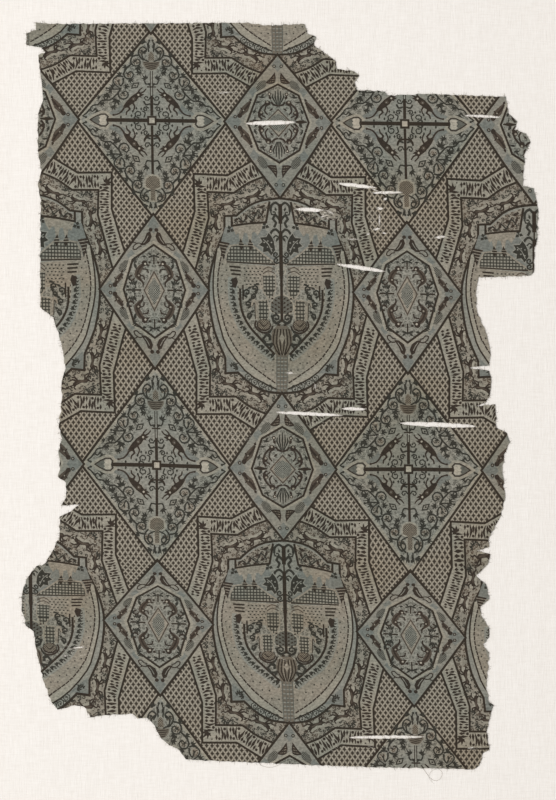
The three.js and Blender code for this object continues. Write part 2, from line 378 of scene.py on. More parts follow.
def reeds(path, height, pitch, seed=3):
    """Upright blades of grass and buds side by side along a band's middle line."""
    draw = random.Random(seed)
    walk = Walk(path)
    motif = []
    count = int(walk.length / pitch)
    for k in range(count):
        point, along = walk.at((k + 0.5) * walk.length / count)
        up = -1j * along
        half = height / 2 * draw.uniform(0.84, 0.94)
        foot, top = point - up * half, point + up * half
        sway = along * draw.uniform(-0.8, 0.8)
        kind = k % 5
        if kind == 0:
            motif += leaf(foot, top + sway, 2.8, "hound", 0.4)
        elif kind == 1:
            motif += leaf(foot, point + up * half * 0.36, 2.9, "hound", 0.35)
            motif += disc(point + up * half * 0.7, 1.6, "hound", 6)
        elif kind == 2:
            motif += line([foot + sway, point - sway * 1.4, top + sway], swelling(2.5, 0.3), "hound")
        elif kind == 3:
            motif += leaf(top, point - up * half * 0.3, 2.8, "hound", 0.35)
            motif += disc(point - up * half * 0.68, 1.5, "hound", 6)
        else:
            motif += leaf(top, point + up * half * 0.1, 2.4, "hound")
            motif += leaf(foot, point - up * half * 0.1, 2.6, "hound")
    return motif


# The four fields of the repeat

BAND_OUTER = [103 + 35.5j, 99.5 + 38j, 75 + 52.5j, 41 + 51.5j, 41.5 + 90j, 31 + 127j, 29 + 133j]
BAND_INNER = [118 + 50j, *bend([112 + 53j, 96 + 59.5j, 81 + 69.5j]), 54.5 + 69j, 55.5 + 97j, 43 + 145j,
              41 + 152j]
ROUNDEL = [
    *bend([-98j, -18 - 95.4j, -32 - 89j, -44 - 78.4j], 2),
    *[-56 - 77.6j, -56.2 - 61j],
    *bend([-60 - 53j, -67 - 34j, -71.6 - 15j, -73, -72 + 15.5j, -67.6 + 39.6j, -57 + 64.7j], 2),
    *[-56.5 + 80.2j],
    *bend([-44 + 79.2j, -31 + 90j, -17 + 96.6j, 98.5j], 2),
]


# The scroll diamond's lower right quarter, in steps: stems, boughs of lobed leaves and leafy patches
STEMS = [
    [2.6 + 65j, 7.6 + 65.4j, 12 + 70.6j, 12.4 + 76j, 8.4 + 80j, 4.4 + 77j, 6.4 + 73.6j, 9.4 + 75.4j],
    [12.4 + 71j, 18.6 + 69.4j, 20.6 + 64j, 18 + 59.4j, 12.6 + 59.6j, 11 + 64j, 14 + 66.6j, 16.4 + 64j],
    [20 + 61j, 25 + 56j, 27.8 + 50j, 25 + 45.4j, 20 + 45.6j, 18 + 50j, 21 + 53j, 23.6 + 50.4j],
    [28 + 47j, 33 + 48j, 37.4 + 45j, 38.4 + 41j, 35 + 37j, 31 + 34j],
    [28 + 46j, 28.4 + 40.6j, 31 + 37j, 33 + 42j],
    [31 + 34j, 37 + 33.4j, 45 + 34.4j],
    [31 + 34j, 33.6 + 28j, 31 + 23.4j, 26 + 23.2j, 23.2 + 27.4j, 25.6 + 31.4j, 29 + 29.4j],
    [33 + 30j, 37 + 25.6j, 42 + 21.4j, 47 + 22.4j, 47.4 + 26.4j, 43.4 + 27j],
    [44 + 21.6j, 50 + 20.6j, 54 + 16.4j, 59 + 15.4j, 61.6 + 11.6j, 59.4 + 9j, 56.4 + 11.6j],
    [62 + 11.4j, 65.4 + 7j, 69 + 4j, 66 + 2.6j],
    [1.4 + 70j, 3 + 80j, 1.6 + 87j],
]
BOUGHS = table(
    ("x", "y", "length", "angle"),
    (
        (14, 57.6, 6, -40), (25, 58, 5, 70), (31, 49, 5, 120), (43, 27, 6, 60), (35, 22, 7, 20),
        (50, 18.6, 5, -30),
        (22, 44, 5, -60), (7, 84, 5, 150), (38, 36, 5, 120), (56, 9, 5, -60), (12, 53, 5, 30),
        (18, 71, 5, 100),
        (39, 15, 5, -30), (40, 31.6, 5, 90), (52, 23.6, 4, 120), (26.6, 36.4, 5, -90),
    ),
)
LEAFY = table(
    ("x", "y", "wide", "high"),
    (
        (8.6, 75.4, 3.6, 4.4), (22.6, 49.8, 3.4, 3.6), (33.4, 42.4, 3.6, 4.6), (28, 27.4, 3.4, 3.2),
        (15.4, 64, 4, 4),
    ),
)


def scroll_quarter():
    """The lower right quarter of the scroll diamond."""
    motif = [([13 + 44j, 5 + 53j, 2 + 88j, 68 + 5j, 44 + 7j, 33 + 14j], "sprays")]
    for patch in LEAFY:
        motif += oval(complex(patch["x"], patch["y"]), patch["wide"], patch["high"], "vines")
    for bough in BOUGHS:
        turn = bough["length"] / 7 * cmath.exp(1j * math.radians(bough["angle"]))
        motif += placed(sprig(), complex(bough["x"], bough["y"]), turn)
    for stem in STEMS:
        motif += line(bend(stem, 2), tapered(1.8, 0.7)) + disc(stem[-1], 1.4)
    # The hound with its tail towards the heart
    back = bend([27.6 + 13.6j, 24.4 + 17.2j, 20.6 + 20.8j, 17 + 24.4j, 14 + 27.4j, 11.4 + 29.4j], 2)
    motif += line(back, swelling(10, 0.5), "ash") + line(back, swelling(6.6, 0.4), "hound")
    motif += disc(17.8 + 23.4j, 3.7, "line", 8) + disc(18 + 23.2j, 2.2, "lotus", 6)
    motif += disc(18.2 + 23j, 0.8, "ash", 4)
    motif += disc(12.8 + 28j, 3.1, "line", 7) + disc(13.2 + 27.6j, 1.2, "cream")
    motif += disc(24.4 + 15.6j, 2.4, "line", 6)
    motif += leaf(12 + 27j, 7 + 28.4j, 3, "hound", 0.3) + leaf(13 + 26.6j, 9.6 + 24.4j, 1.8, "hound")
    motif += line(bend([27.6 + 13.6j, 29.4 + 10.4j, 33 + 6.8j, 38.4 + 5.2j], 2), tapered(2, 0.7), "hound")
    motif += disc(38.4 + 5.4j, 1.3, "hound")
    motif += line(bend([12 + 29j, 8 + 31j, 5.4 + 34.4j], 2), tapered(1.9, 0.6), "hound")
    motif += line(bend([13.4 + 29.4j, 12.4 + 32.4j, 9 + 35.6j], 2), tapered(1.9, 0.6), "hound")
    motif += line(bend([24.4 + 16j, 22 + 12j, 25 + 9j, 25.6 + 5.4j], 2), tapered(2.2, 0.6), "hound")
    motif += line(bend([20 + 20j, 17 + 15j, 19 + 9.4j], 2), tapered(2, 0.6), "hound")
    # The small eyed leaf beyond its nose
    motif += leaf(12 + 41.4j, 20.8 + 34j, 7, "scroll") + leaf(13.6 + 39.8j, 19 + 35.6j, 3.8, "ash")
    motif += disc(16.4 + 37.6j, 1.1)
    # Buds and tendrils round the middle
    motif += tendril(3 + 13j, 6 + 12j, -1.1, 1.5)
    motif += tendril(12.6 + 2.4j, 13.4 + 6.6j, 1.1, 1.5, inner=0.4)
    motif += line(bend([1.6 + 18j, 6 + 17j, 8 + 21j], 2), 1.8)
    motif += line(bend([8 + 3j, 6.6 + 8j, 9.6 + 10j], 2), 1.4)
    motif += tendril(1.4 + 25j, 5 + 24.6j, 1, 1.4)
    for spot in (10.6 + 12.4j, 15.4 + 13j, 20.4 + 5j, 19 + 9.6j, 31 + 3.2j, 17.4 + 2.6j):
        motif += leaf(spot - 1.8j, spot + 1.8j, 2.4)
    motif += line(bend([1 + 40j, 5.4 + 39.4j, 7 + 43j], 2), 1.5)
    motif += placed(sprig(), 5.4 + 45j, 0.8 * cmath.exp(2.4j))
    return motif


def heart():
    """A heart lying on its side with its tip towards +x: grey tip, cream lobes, 17 steps long."""
    half = [1.6, 0.2 - 3.2j, 2.6 - 5.8j, 7 - 5.8j, 12.4 - 3.2j, 17]
    outline = half + [p.conjugate() for p in half[-2:0:-1]]
    lobe = [2.4 + 0j, 1.6 - 3.2j, 3.2 - 4.8j, 7 - 4.6j, 9 - 3.2j, 7.6 - 1.8j, 9 + 0j]
    motif = [(grown(outline, 3), "pale")] + bordered(outline, 1.1, "smoke", "hound")
    return motif + [(lobe, "cream"), ([p.conjugate() for p in lobe], "cream")]


def scroll_diamond():
    outline = diamond(*SCROLL_DIAMOND)
    motif = bordered(outline, 2.4, "pale") + [(grown(outline, -4), "dove")]
    motif += four_ways([([26 + 8j, 44 + 5j, 58 + 7j, 40 + 15j, 31 + 20j], "blue")])
    motif += four_ways(scroll_quarter())
    motif += both_sides(placed(heart(), 43.4, 1.08))
    motif += both_sides(line([4 + 0j, 30 + 0j, 44.4 + 0j], 3.9, "line"))
    motif += line([5j, 53j], 2.6, "line") + line([-5j, -27j], 3, "line")
    motif += both_sides(line([1.1 - 27j, 1.1 - 55j], 0.9, "line"))
    motif += line([-4.4 - 36.4j, 4.4 - 36.4j], 1.4, "line") + both_sides(leaf(1 - 37j, 3.6 - 41j, 2.2))
    motif += both_sides(line(bend([1 + 15j, 6 + 16j, 8 + 20j], 2), 1.8, "line"))
    motif += [([-77j, 3.8 - 73j, 4.4 - 63j, -4.4 - 63j, -3.8 - 73j], "ash"),
              ([-75j, 2.6 - 72j, 3.2 - 63j, -3.2 - 63j, -2.6 - 72j], "clay")]
    motif += placed(basket(), -59.4j)
    cap = bend([-7 + 65j, -6.4 + 57j, 54j, 6.4 + 57j, 7 + 65j], 2)
    cap += [2.4 + 67j, 2.2 + 79j, -2.2 + 79j, -2.4 + 67j]
    motif += [(grown(cap, 1.6), "pale"), (cap, "clay")]
    for way, foot in ((-1, -64), (1, 68)):
        motif += both_sides(line(bend([complex(2.4, foot), complex(8, foot + 3 * way),
                                       complex(9, foot + 9 * way),
                                       complex(4, foot + 13 * way)], 2), 1.5))
        motif += both_sides(leaf(complex(1, foot + 14 * way), complex(4.6, foot + 21 * way), 2.8))
    square = [-3.7 - 3.8j, 3.7 - 3.8j, 3.7 + 3.8j, -3.7 + 3.8j]
    return motif + bordered(square, 2.1, "cream")


def quarter_panels():
    """What lies between the diamonds and the roundel: star lattice, reed band and a band of hounds."""
    corner = complex(HALF_WIDTH, HALF_LENGTH)
    whole = [0, corner.real + 0j, corner, corner.imag * 1j]
    reed_band = BAND_OUTER + BAND_INNER[::-1]
    chase = BAND_INNER + [corner.imag * 1j + 40, corner, complex(corner.real, 50)]
    motif = [(whole, "stars"), (reed_band, "pale"), (chase, "vines")]
    motif += reeds([106 + 46.5j, 97 + 49.5j, 79 + 61.5j, 53.6 + 60.4j], 15, 2.8)
    motif += reeds([48.6 + 62j, 48.8 + 93j, 37 + 138j], 11, 3, 5)
    motif += placed(sprig("hound"), 46.6 + 62j, 1.05 * cmath.exp(-0.7j))
    motif += disc(50.6 + 55j, 0.9, "hound", 4)
    prey = [(101 + 73j, 0.9 * cmath.exp(-0.3j)), (75 + 82j, 0.86 * cmath.exp(-0.15j)),
            (61.5 + 101j, 0.86 * cmath.exp(1.75j)), (53 + 129j, 0.86 * cmath.exp(1.85j))]
    for spot, turn in prey:
        motif += placed(hound(), spot, turn)
    for spot, turn, size in ((62 + 78j, 0.4, 0.9), (86 + 86j, 2.6, 0.8), (112 + 64j, 0.8, 0.7),
                             (90 + 70j, -0.9, 0.6), (60 + 88j, -2.4, 0.7), (53 + 113j, 0.2, 0.7),
                             (47 + 146j, 3.3, 0.6)):
        motif += placed(acanthus(9), spot, size * cmath.exp(1j * turn))
    return motif + line(BAND_OUTER, 2.1, "line") + line(BAND_INNER, 2.1, "line")


def long_diamond():
    """The tall diamond with an octagon in it and a lozenge in the middle."""
    octagon = [-46j, 21.8 - 30.5j, 31, 20.8 + 32.5j, 47.6j, -20.8 + 32.5j, -30.6, -21.2 - 30.5j]
    lozenge = [-18.4j, 10 + 0.6j, 20.4j, -10 + 0.6j]
    motif = bordered(diamond(*LONG_DIAMOND, bow=0.8), 2.3, "ash")
    motif += ring_figures(LONG_DIAMOND, 3.6 - 51.2j, 30 - 23.6j, 22.4 - 35j,
                          [31.6 - 16.4j, 34 - 13j, 36.4 - 9.6j, 39.4 - 4.6j],
                          long_birds=True)
    motif += [(grown(octagon, 3.6), "pale")] + bordered(octagon, 2.1, "sprays")
    beast = placed(lion(), -13.6 - 18j, 1.06)
    beast += placed(acanthus(7), -17 - 28j, 0.7 * cmath.exp(-0.5j))
    beast += placed(acanthus(6), -24 - 5j, 0.85 * cmath.exp(1.2j))
    beast += line(curl(-19.6 - 12j, -22.4 - 12j, 0.8, 0.8, 8), 1.6, "hound")
    beast += leaf(-17.6 - 20j, -19.6 - 28j, 3)
    beast += leaf(-21 - 4j, -16.4 - 9.6j, 3) + leaf(-24.6 - 9j, -26.4 - 16j, 3) + disc(-26.6 - 3j, 1.5)
    beast += leaf(-7.4 - 33.6j, -12.4 - 34.4j, 2.4) + disc(-4.4 - 28j, 1.5, "hound")
    motif += both_sides(beast) + placed(both_sides(beast), 1.8j, 1.05, flip=True)
    motif += [(grown(lozenge, 1.8), "ash")] + bordered(lozenge, 1.3, "straw", "lotus")
    motif += [([-12.6j, 5.8 - 3j, 6 + 4j, 15j, -6 + 4j, -5.8 - 3j], "specks")]
    motif += both_sides(line([13 + 0.4j, 28 + 0.4j], 1.7, "line") + placed(sprig("scroll"), 19.6 + 0.4j,
                                                                           0.62j))
    motif += line([-36j, -26j], 1.5, "line") + line([29j, 39j], 1.5, "line")
    for y, way in ((-35, -1), (38.6, 1)):
        motif += line(bend([complex(-5.4, y - 2 * way), 1j * y, complex(5.4, y - 2 * way)], 2), 1.8)
        motif += both_sides(leaf(complex(2, y), complex(6, y + 3 * way), 2.2))
    return motif


def ring_figures(size, bird_at, oval_at, patch_at, body, long_birds=False):
    """Birds or wings, chequered ovals and beasts round the octagon in a diamond, over patches of blue."""
    width, height = size
    tips = [complex(width * 0.98), complex(width * 0.8, height * 0.12), complex(width * 0.68),
            complex(width * 0.8, -height * 0.12)]
    motif = both_sides([(tips, "blue")])
    motif += [([complex(0, way * height * 0.97), complex(6, way * height * 0.84),
                complex(0, way * height * 0.74),
                complex(-6, way * height * 0.84)], "blue") for way in (-1, 1)]
    quarter = [([patch_at + spot for spot in (-5 + 0j, 0 - 5.4j, 5.4 + 0j, 1 + 6j)], "blue")]
    if long_birds:
        quarter += placed(bird(), bird_at, cmath.exp(-0.05j))
    else:
        quarter += placed(wing(), bird_at) + disc(3.6 - 61j, 2, "scroll", 6)
        quarter += disc(3.6 - 61j, 1, "ash", 5)
    quarter += placed(oval(0, 4.2, 7.2, "dots"), oval_at, cmath.exp(-0.62j))
    quarter += line(bend(body, 2), swelling(0.38 * abs(body[3] - body[0]), 0.5), "lotus")
    quarter += line(bend(body, 2), 2, "hound")
    quarter += leaf(body[0] + 1, body[0] - 0.6 - 4j, 3, "hound") + disc(body[2] + 0.4, 1, "straw", 4)
    quarter += disc(body[3], 2.6, "hound", 7) + line([body[1] - 1, body[1] - 3.6 + 2.4j], 1.2, "hound")
    quarter += line([body[2] + 1, body[2] + 3.4 - 2.6j], 1.2, "hound")
    quarter += disc(body[3] + 4.4 + 1.2j, 2, "hound", 6)
    quarter += disc(body[3] + 4.4 + 1.2j, 1, "ash", 4)
    return motif + four_ways(quarter)


def bird_diamond():
    """The tall diamond with hounds about a smaller diamond."""
    octagon = [-41.2j, 20.8 - 29.4j, 30.6, 20.6 + 27j, 39.4j, -20.6 + 27j, -31.2, -20.8 - 29.4j]
    motif = bordered(diamond(*BIRD_DIAMOND, bow=1.2), 2.3, "ash")
    motif += ring_figures(BIRD_DIAMOND, 2.8 - 48j, 16.8 - 39.4j, 24.4 - 33j,
                          [27.4 - 22j, 31 - 16.4j, 34.6 - 12.4j, 39 - 6.4j])
    motif += [(grown(octagon, 3.2), "pale")] + bordered(octagon, 2.1, "sprays")
    upper = line(bend([16.4 - 3j, 19.6 - 7j, 18 - 14j, 13 - 19.6j, 8 - 22j], 2), 2.1, "hound")
    upper += disc(17.8 - 9.6j, 3.1, "hound", 8) + disc(17 - 10.4j, 1.3, "straw", 5)
    upper += disc(10.6 - 20.6j, 3.1, "hound", 8) + disc(10.8 - 21.8j, 1.3, "straw", 5)
    upper += line(bend([7 - 22j, 4.6 - 19j, 0j - 17.6j], 2), 2, "hound")
    upper += line(bend([12 - 18j, 13.6 - 12j, 10.6 - 8j], 2), 1.6, "hound")
    upper += line([16 - 7j, 12.6 - 4.6j], 1.4, "hound") + leaf(7 - 24j, 9.4 - 29.4j, 3, "hound")
    upper += disc(8.6 - 30.4j, 2, "hound", 7) + disc(8.6 - 30.4j, 1, "cream", 6)
    upper += leaf(13 - 26.6j, 20.4 - 27.4j, 2.6) + leaf(14 - 31j, 18 - 26j, 2)
    upper += leaf(17 - 22j, 23.4 - 21j, 2.6)
    upper += leaf(25.4 - 8j, 22.4 - 15j, 2.8) + leaf(25.4 - 1.4j, 23 - 6.4j, 2.8)
    upper += leaf(9 - 12j, 5 - 15.4j, 2.2, "hound")
    upper += disc(20.6 - 2.6j, 1.1, "straw", 4) + [([24 - 3j, 28.4 - 2j, 27 - 8j, 24.4 - 9j], "dove")]
    motif += both_sides(upper) + placed(both_sides(upper), -1.6j, 0.98, flip=True)
    for way in (-1, 1):
        fan = [complex(x, y * way) for x, y in ((-1.6, 19), (1.6, 19), (6.6, 26), (6.4, 33), (0, 37),
                                                (-6.4, 33), (-6.6, 26))]
        motif += [(fan, "ash")]
        for x, long in ((-5.6, 12), (-2.9, 15), (0, 17), (2.9, 15), (5.6, 12)):
            motif += line([complex(x * 0.3, 19 * way), complex(x, 27 * way),
                           complex(x * 0.9, (19 + long) * way)],
                          swelling(1.7, 0.5))
    motif += both_sides(line([15.4 - 0.4j, 22 - 0.4j, 29 - 0.4j], swelling(3.6, 0.35), "line"))
    motif += both_sides(leaf(20.4 + 0.6j, 24.4 + 5.6j, 3.4))
    middle = diamond(12.6, 13.8)
    motif += [(grown(middle, 1.6), "ash")] + bordered(middle, 1.3, "straw", "lotus")
    return motif + [([-9.4j, 6.6 - 6j, 9.4, 6.6 + 6j, 9.4j, -6.6 + 6j, -9.4, -6.6 - 6j], "specks")]


def crescents():
    """The left half of the roundel's crescents, with dashes, dots, and leaves along the bow inside them."""
    rim = bend([-64 - 44j, -67.6 - 20j, -68.4, -66.4 + 16j, -61 + 38j, -55 + 54j, -37 + 77j, -20 + 88j,
                -2 + 96j], 2)
    motif = [(rim + [-3 + 50j, -46 - 46j], "pale")] + line(rim, 1.6, "line")
    outer = bend([-59 - 40j, -63 - 18j, -63.6 + 2j, -60.6 + 20j, -54 + 42j, -41 + 62j, -25 + 76j,
                  -6 + 89j], 2)
    inner = bend([-4 + 66j, -27 + 50j, -42 + 34j, -48 + 18j, -49.4, -47 - 16j, -46 - 24j], 2)
    motif += [(outer + inner, "straw")]
    walk = Walk(outer)
    for k in range(28):
        start, along = walk.at(k * walk.length / 28)
        motif += line([start, start + along * walk.length / 28 * 0.86], 1.4, "hound")
    middle = Walk(bend([-56.4 - 30j, -58 + 2j, -54.6 + 22j, -48.4 + 40j, -37 + 55j, -21 + 69j, -8 + 79j],
                       2))
    for k in range(22):
        spot, along = middle.at((k + 0.5) * middle.length / 22)
        motif += disc(spot + 2j * along * (-1) ** k, 1, "scroll", 4)
    leaves = Walk(bend([-48.6 - 14j, -49 + 4j, -46 + 20j, -39 + 35j, -28 + 47j, -8 + 63j], 2))
    motif += line(leaves.points, 9.6, "dove")
    for k in range(15):
        spot, along = leaves.at((k + 0.5) * leaves.length / 15)
        motif += leaf(spot - along * 3.2, spot + along * 2.4 - 1.6j * along, 3.4, "scroll")
        motif += leaf(spot + along * 0.4 + 3.4j * along, spot + along * 1.2 - 3.6j * along, 2.2, "scroll")
        motif += line([spot + along * 2.6, spot + along * 4.2 + 1.6j * along,
                       spot + along * 2.8 + 3j * along], 1.1)
        motif += line([spot - 5.6j * along, spot + along * 2.6 - 5.4j * along], 1, "hound")
    bow = bend([-41.4 - 4j, -41.2 + 13j, -38 + 24.6j, -31.6 + 35j, -23 + 44j, -7.4 + 59.6j], 2)
    motif += [(bow + [55j, -26j, -46 - 26j], "sprays")]
    return motif + line(bow, 2.3, "line")


def hills():
    """The left hill with its finials, the blue field above it and the bars and dashes below."""
    motif = [([-55.6 - 66j, -20 - 69j, -6 - 56j, -4 - 30j, -8 - 27j, -56 - 30j, -60 - 50j], "blue")]
    drips = [-48.4 - 67.4j, -17.4 - 71.6j, -19.4 - 64j, -23 - 58j, -26 - 62j, -28.4 - 61j, -29.4 - 52j,
             -32 - 52j,
             -33.4 - 60j, -36.6 - 61j, -38.6 - 52j, -41 - 52j, -42.4 - 60j, -45 - 58j]
    motif += [(drips, "straw")]
    hill = [-55 - 31j, -53.8 - 38j, -50 - 46j, -44 - 47j, -27.6 - 46j, -17 - 36.6j, -6 - 28.4j]
    motif += [(grown(hill, 1.7), "straw"), (hill, "grid")]
    for x in (-40, -30.6):
        motif += leaf(complex(x + 0.8, -42), complex(x - 0.4, -54.6), 5.6, "line")
        motif += line([complex(x - 3.6, -50), complex(x + 3, -49.6)], 0.8, "straw")
        motif += line([complex(x - 3.6, -47.4), complex(x + 3, -47)], 0.8, "straw")
    wedge = [-62.4 - 51.6j, -51 - 49.4j, -54.6 - 43j, -57.4 - 31j, -60 - 40j]
    motif += [(wedge, "hound")]
    for k in range(4):
        motif += line([complex(-61.6 + k, -48.8 + 3.4 * k), complex(-51.6 - k, -47 + 3.2 * k)], 0.8,
                      "straw")
    motif += [([-54.6 - 29j, -9 - 25.6j, -12 - 1j, -42 - 2j, -47.6 - 10j], "straw")]
    motif += line([-54.6 - 29.8j, -6 - 27.6j], 1.5, "line")
    for k, y in enumerate((-24.6, -20.8, -16.8)):
        motif += line([complex(-52 + k, y - 0.4), complex(-40.6, y + 0.4)], 1.9, "line")
    for row in range(6):
        for column in range(5):
            spot = complex(-37.6 + column * 3.9 + (row % 2) * 1.9, -23.6 + row * 3.4)
            motif += line([spot, spot + 1.8 + 0.3j], 1.3, "scroll")
    for y in (-24, -20):
        motif += line(bend([complex(-18.4, y + 2.4), complex(-13, y - 1), complex(-6.4, y + 2)], 2), 1.1,
                      "lotus")
    return motif + [([-50.4 - 12j, -45 - 14j, -43.4 - 9j, -46 - 2j, -48.6 - 4j], "hound")]


def columns():
    """The left half of the chequered columns, with scrolls and the cups at their feet."""
    motif = [(grown(shape, 1), "straw") for shape in CHEQUERED] + [(shape, "grid") for shape in CHEQUERED]
    for spot, radius, turns in ((-34.6 + 2j, 4.4, 1.1), (-27 - 2.4j, 3.8, -1.1), (-34 + 13j, 3.8, -1.1),
                                (-27.6 + 5.6j, 3.2, 1.1), (-31.6 + 23.6j, 3.4, 1)):
        motif += tendril(spot + radius * 1j, spot, turns, 2, bud=1.5)
        motif += leaf(spot - radius * 0.8j, spot + radius * (1.3 - 1.5j), 2.8)
    motif += line([-38.6 - 6j, -38.6 + 9j], 1.6, "line")
    motif += line(bend([-30 + 15j, -28.6 + 9.4j, -26 + 10.4j, -25.6 + 18j, -25 + 27j], 2), 2, "straw")
    motif += line(bend([-29 + 15j, -27.8 + 11.4j, -27 + 12.6j, -26.8 + 20j, -26.4 + 27j], 2), 0.9, "line")
    motif += line(bend([-25.6 + 28j, -27 + 33j, -23 + 38j, -16.6 + 39.6j, -11 + 37j, -9.4 + 33j], 2), 1.9,
                  "hound")
    motif += oval(-18 + 32.4j, 7.6, 6, "hound", 9) + oval(-18 + 31.8j, 6.4, 4.8, "clay", 9)
    motif += line(bend([-22 + 30j, -18 + 33.6j, -14 + 30j], 2), 1, "hound")
    return motif


CHEQUERED = (
    [-18.6 - 15.6j, -6.8 - 16.4j, -6 - 4j, -8.6 + 5j, -12.6 + 7.6j, -18 + 1j],
    [-23.4 + 10j, -14.6 + 9j, -13 + 18j, -14.6 + 29j, -23 + 28j],
)


def tree():
    """The left half of the tree: curls and lobed leaves on the stem, and the scaly dome at its foot."""
    motif = line(bend([-0.8 - 90j, -4.6 - 93.4j, -9 - 90j, -9.6 - 84j], 2), 2.5)
    motif += tendril(-9.6 - 84j, -6.6 - 82.6j, -0.9, 1.5)
    motif += line(bend([-0.8 - 75j, -4.6 - 80j, -7.4 - 76j, -4.4 - 72j, -6.6 - 67j], 2), 2.5)
    motif += leaf(-4 - 84j, -5.4 - 89j, 2.6)
    motif += line(bend([-0.8 - 61j, -4.6 - 65j, -8.6 - 63j, -11 - 58j], 2), 2.5)
    motif += leaf(-2 - 57j, -5 - 51.4j, 3)
    motif += tendril(-13.6 - 60j, -11.4 - 57.4j, -1.1, 1.5)
    lobes = [-5.8 - 43j, -6.8 - 52j, -9 - 57j, -12 - 61j, -14.4 - 56.6j, -20.6 - 56j, -18.4 - 51.4j,
             -22 - 48j,
             -17.4 - 46j, -18 - 40.4j, -13 - 41.6j, -9.8 - 37j]
    motif += [(grown(lobes, 1), "dove"), (lobes, "scroll")]
    for spot in (-9.4 - 51j, -13 - 52.4j, -16.6 - 51j, -13.4 - 46j, -9.4 - 44.4j):
        motif += disc(spot, 1, "dove", 4)
    motif += line(bend([-17.4 - 54j, -12.6 - 49.4j, -9 - 41j], 2), 0.8, "dove")
    motif += line(bend([-1.4 - 56j, -4.6 - 58.4j, -7.4 - 55.6j], 2), 1.5)
    motif += tendril(-1.6 - 37j, -5 - 38.4j, 1.1, 1.8) + tendril(-1.6 - 30j, -4.6 - 32j, 1.1, 1.8)
    motif += line(bend([-1 - 24j, -4.4 - 21j, -2.4 - 17j], 2), 1.1, "pale")
    for spot in (-15.4 - 68.4j, -50.6 - 63.6j):
        for angle in (20, 130, 250):
            motif += leaf(spot, spot + 4.6 * cmath.exp(1j * math.radians(angle)), 4)
    motif += [(grown(DOME, 1.2), "pale"), (DOME, "smoke")]
    for k in range(12):
        spot = complex(-2.6 - 3.2 * (k % 3), 7.4 + 4 * (k // 3) + (k % 3) % 2 * 1.6)
        motif += leaf(spot - 1.6 - 0.8j, spot + 1.2 + 0.9j, 2, "line")
    motif += tendril(-1 + 28j, -5.4 + 25.4j, 1.3, 2.2, bud=1.4)
    motif += line(bend([-0.6 + 27j, -4 + 31j, -8.6 + 28.6j, -10.4 + 23j], 2), 1.7)
    motif += leaf(-1 + 31j, -6 + 34j, 3, "line") + leaf(-10 + 36j, -14.4 + 41j, 2.6)
    motif += tendril(-9 + 50j, -14 + 45j, 0.9, 2.6, bud=1.8) + leaf(-9.6 + 44j, -17 + 39.6j, 4)
    return motif + leaf(-10 + 48j, -12.4 + 55j, 3.6)


DOME = [-1.2 + 4.4j, -6 + 6j, -11 + 12j, -11.4 + 18j, -6 + 21.6j, -1.2 + 21.6j]


def arch_panel():
    """The left panel under the arch, with animals in a scroll, and leaves in the roundel's lower corner."""
    ceiling = bend([-48.8 - 74.6j, -43.6 - 76j, -31 - 86.4j, -17.6 - 92.4j, -11.4 - 94j], 2)
    motif = [(ceiling + [-14.4 - 72.2j, -48.8 - 67.6j], "vines")]
    motif += line([-48.8 - 77.6j, -48.8 - 67.6j, -32 - 70.4j, -14.4 - 72.2j, -10.6 - 94.6j], 2.2, "line")
    motif += line(bend([-46 - 71j, -41.6 - 76j, -37 - 72j, -33 - 79j, -27.6 - 74j, -23 - 84j, -17 - 77j],
                       2), 1.4)
    for spot, tip in ((-41 - 72.4j, 4 + 0.6j), (-34.4 - 75j, 1 - 5j), (-28 - 81j, 5 - 2j),
                      (-22.4 - 76.6j, 4 - 3j),
                      (-20 - 88j, 5.4 - 1.6j), (-30 - 73j, 4 + 1.4j), (-18 - 82j, 2 - 5j),
                      (-43 - 75j, -2.6 + 2j)):
        motif += leaf(spot - tip * 0.4, spot + tip, 3, "hound")
    for spot in (-25 - 86.6j, -36.6 - 80.4j, -16.4 - 90j, -45.6 - 73.4j):
        motif += disc(spot, 1.2, "hound", 4)
    for spot, turn in ((-51 + 74j, 0.9), (-44 + 76j, -0.6)):
        motif += placed(acanthus(7), spot, 0.8 * cmath.exp(1j * turn))
    return motif + running_scroll([-37 + 81.6j, -24 + 89.4j, -9 + 95j], 3.3)


def tree_roundel():
    """The roundel: a tree on a tall stem over a crescent, with chequered hills and a blue field."""
    outline = ROUNDEL + [-p.conjugate() for p in ROUNDEL[-2:0:-1]]
    motif = bordered(outline, 2.3, "dove")
    motif += both_sides([([-55 + 62j, -44 + 72j, -36 + 79j, -43 + 78j, -55.4 + 79j], "blue")])
    motif += both_sides(crescents() + hills() + columns() + tree() + arch_panel())
    # The stem, the palmette at its foot and the column below
    motif += line([-92j, -82j, -71j], 4, "line") + line([-71j, -60j], 1.6, "line")
    motif += line([-62j, -40j, -15j], 3.8, "line") + line([-16j, -8j, 29j], 2.8, "line")
    palmette = [-5.6 + 97j, -6 + 61j, -8.4 + 53j, -11 + 44j, -9.6 + 37j, -5 + 32.8j]
    motif += [(palmette + [-p.conjugate() for p in palmette[::-1]], "ochre")]
    for x in (-9, -5.6, -2, 2, 5.6, 9):
        motif += line(bend([complex(x * 0.3, 60), complex(x, 49), complex(x * 0.76, 35.6)], 2), 1.3, "line")
    for x in (-3.8, 3.8):
        motif += line(bend([complex(x * 0.3, 60), complex(x, 48), complex(x * 0.7, 36.6)], 2), 0.6, "straw")
    motif += [([39j, 2.8 + 44j, 50j, -2.8 + 44j], "straw")]
    for k in range(9):
        motif += line([complex(-4.6, 63 + 3.8 * k), complex(4.6, 63 + 3.8 * k)], 1, "dove")
    for x in (-5.2, -1.7, 1.7, 5.2):
        motif += line([complex(x, 60), complex(x, 97)], 0.9, "smoke")
    return motif


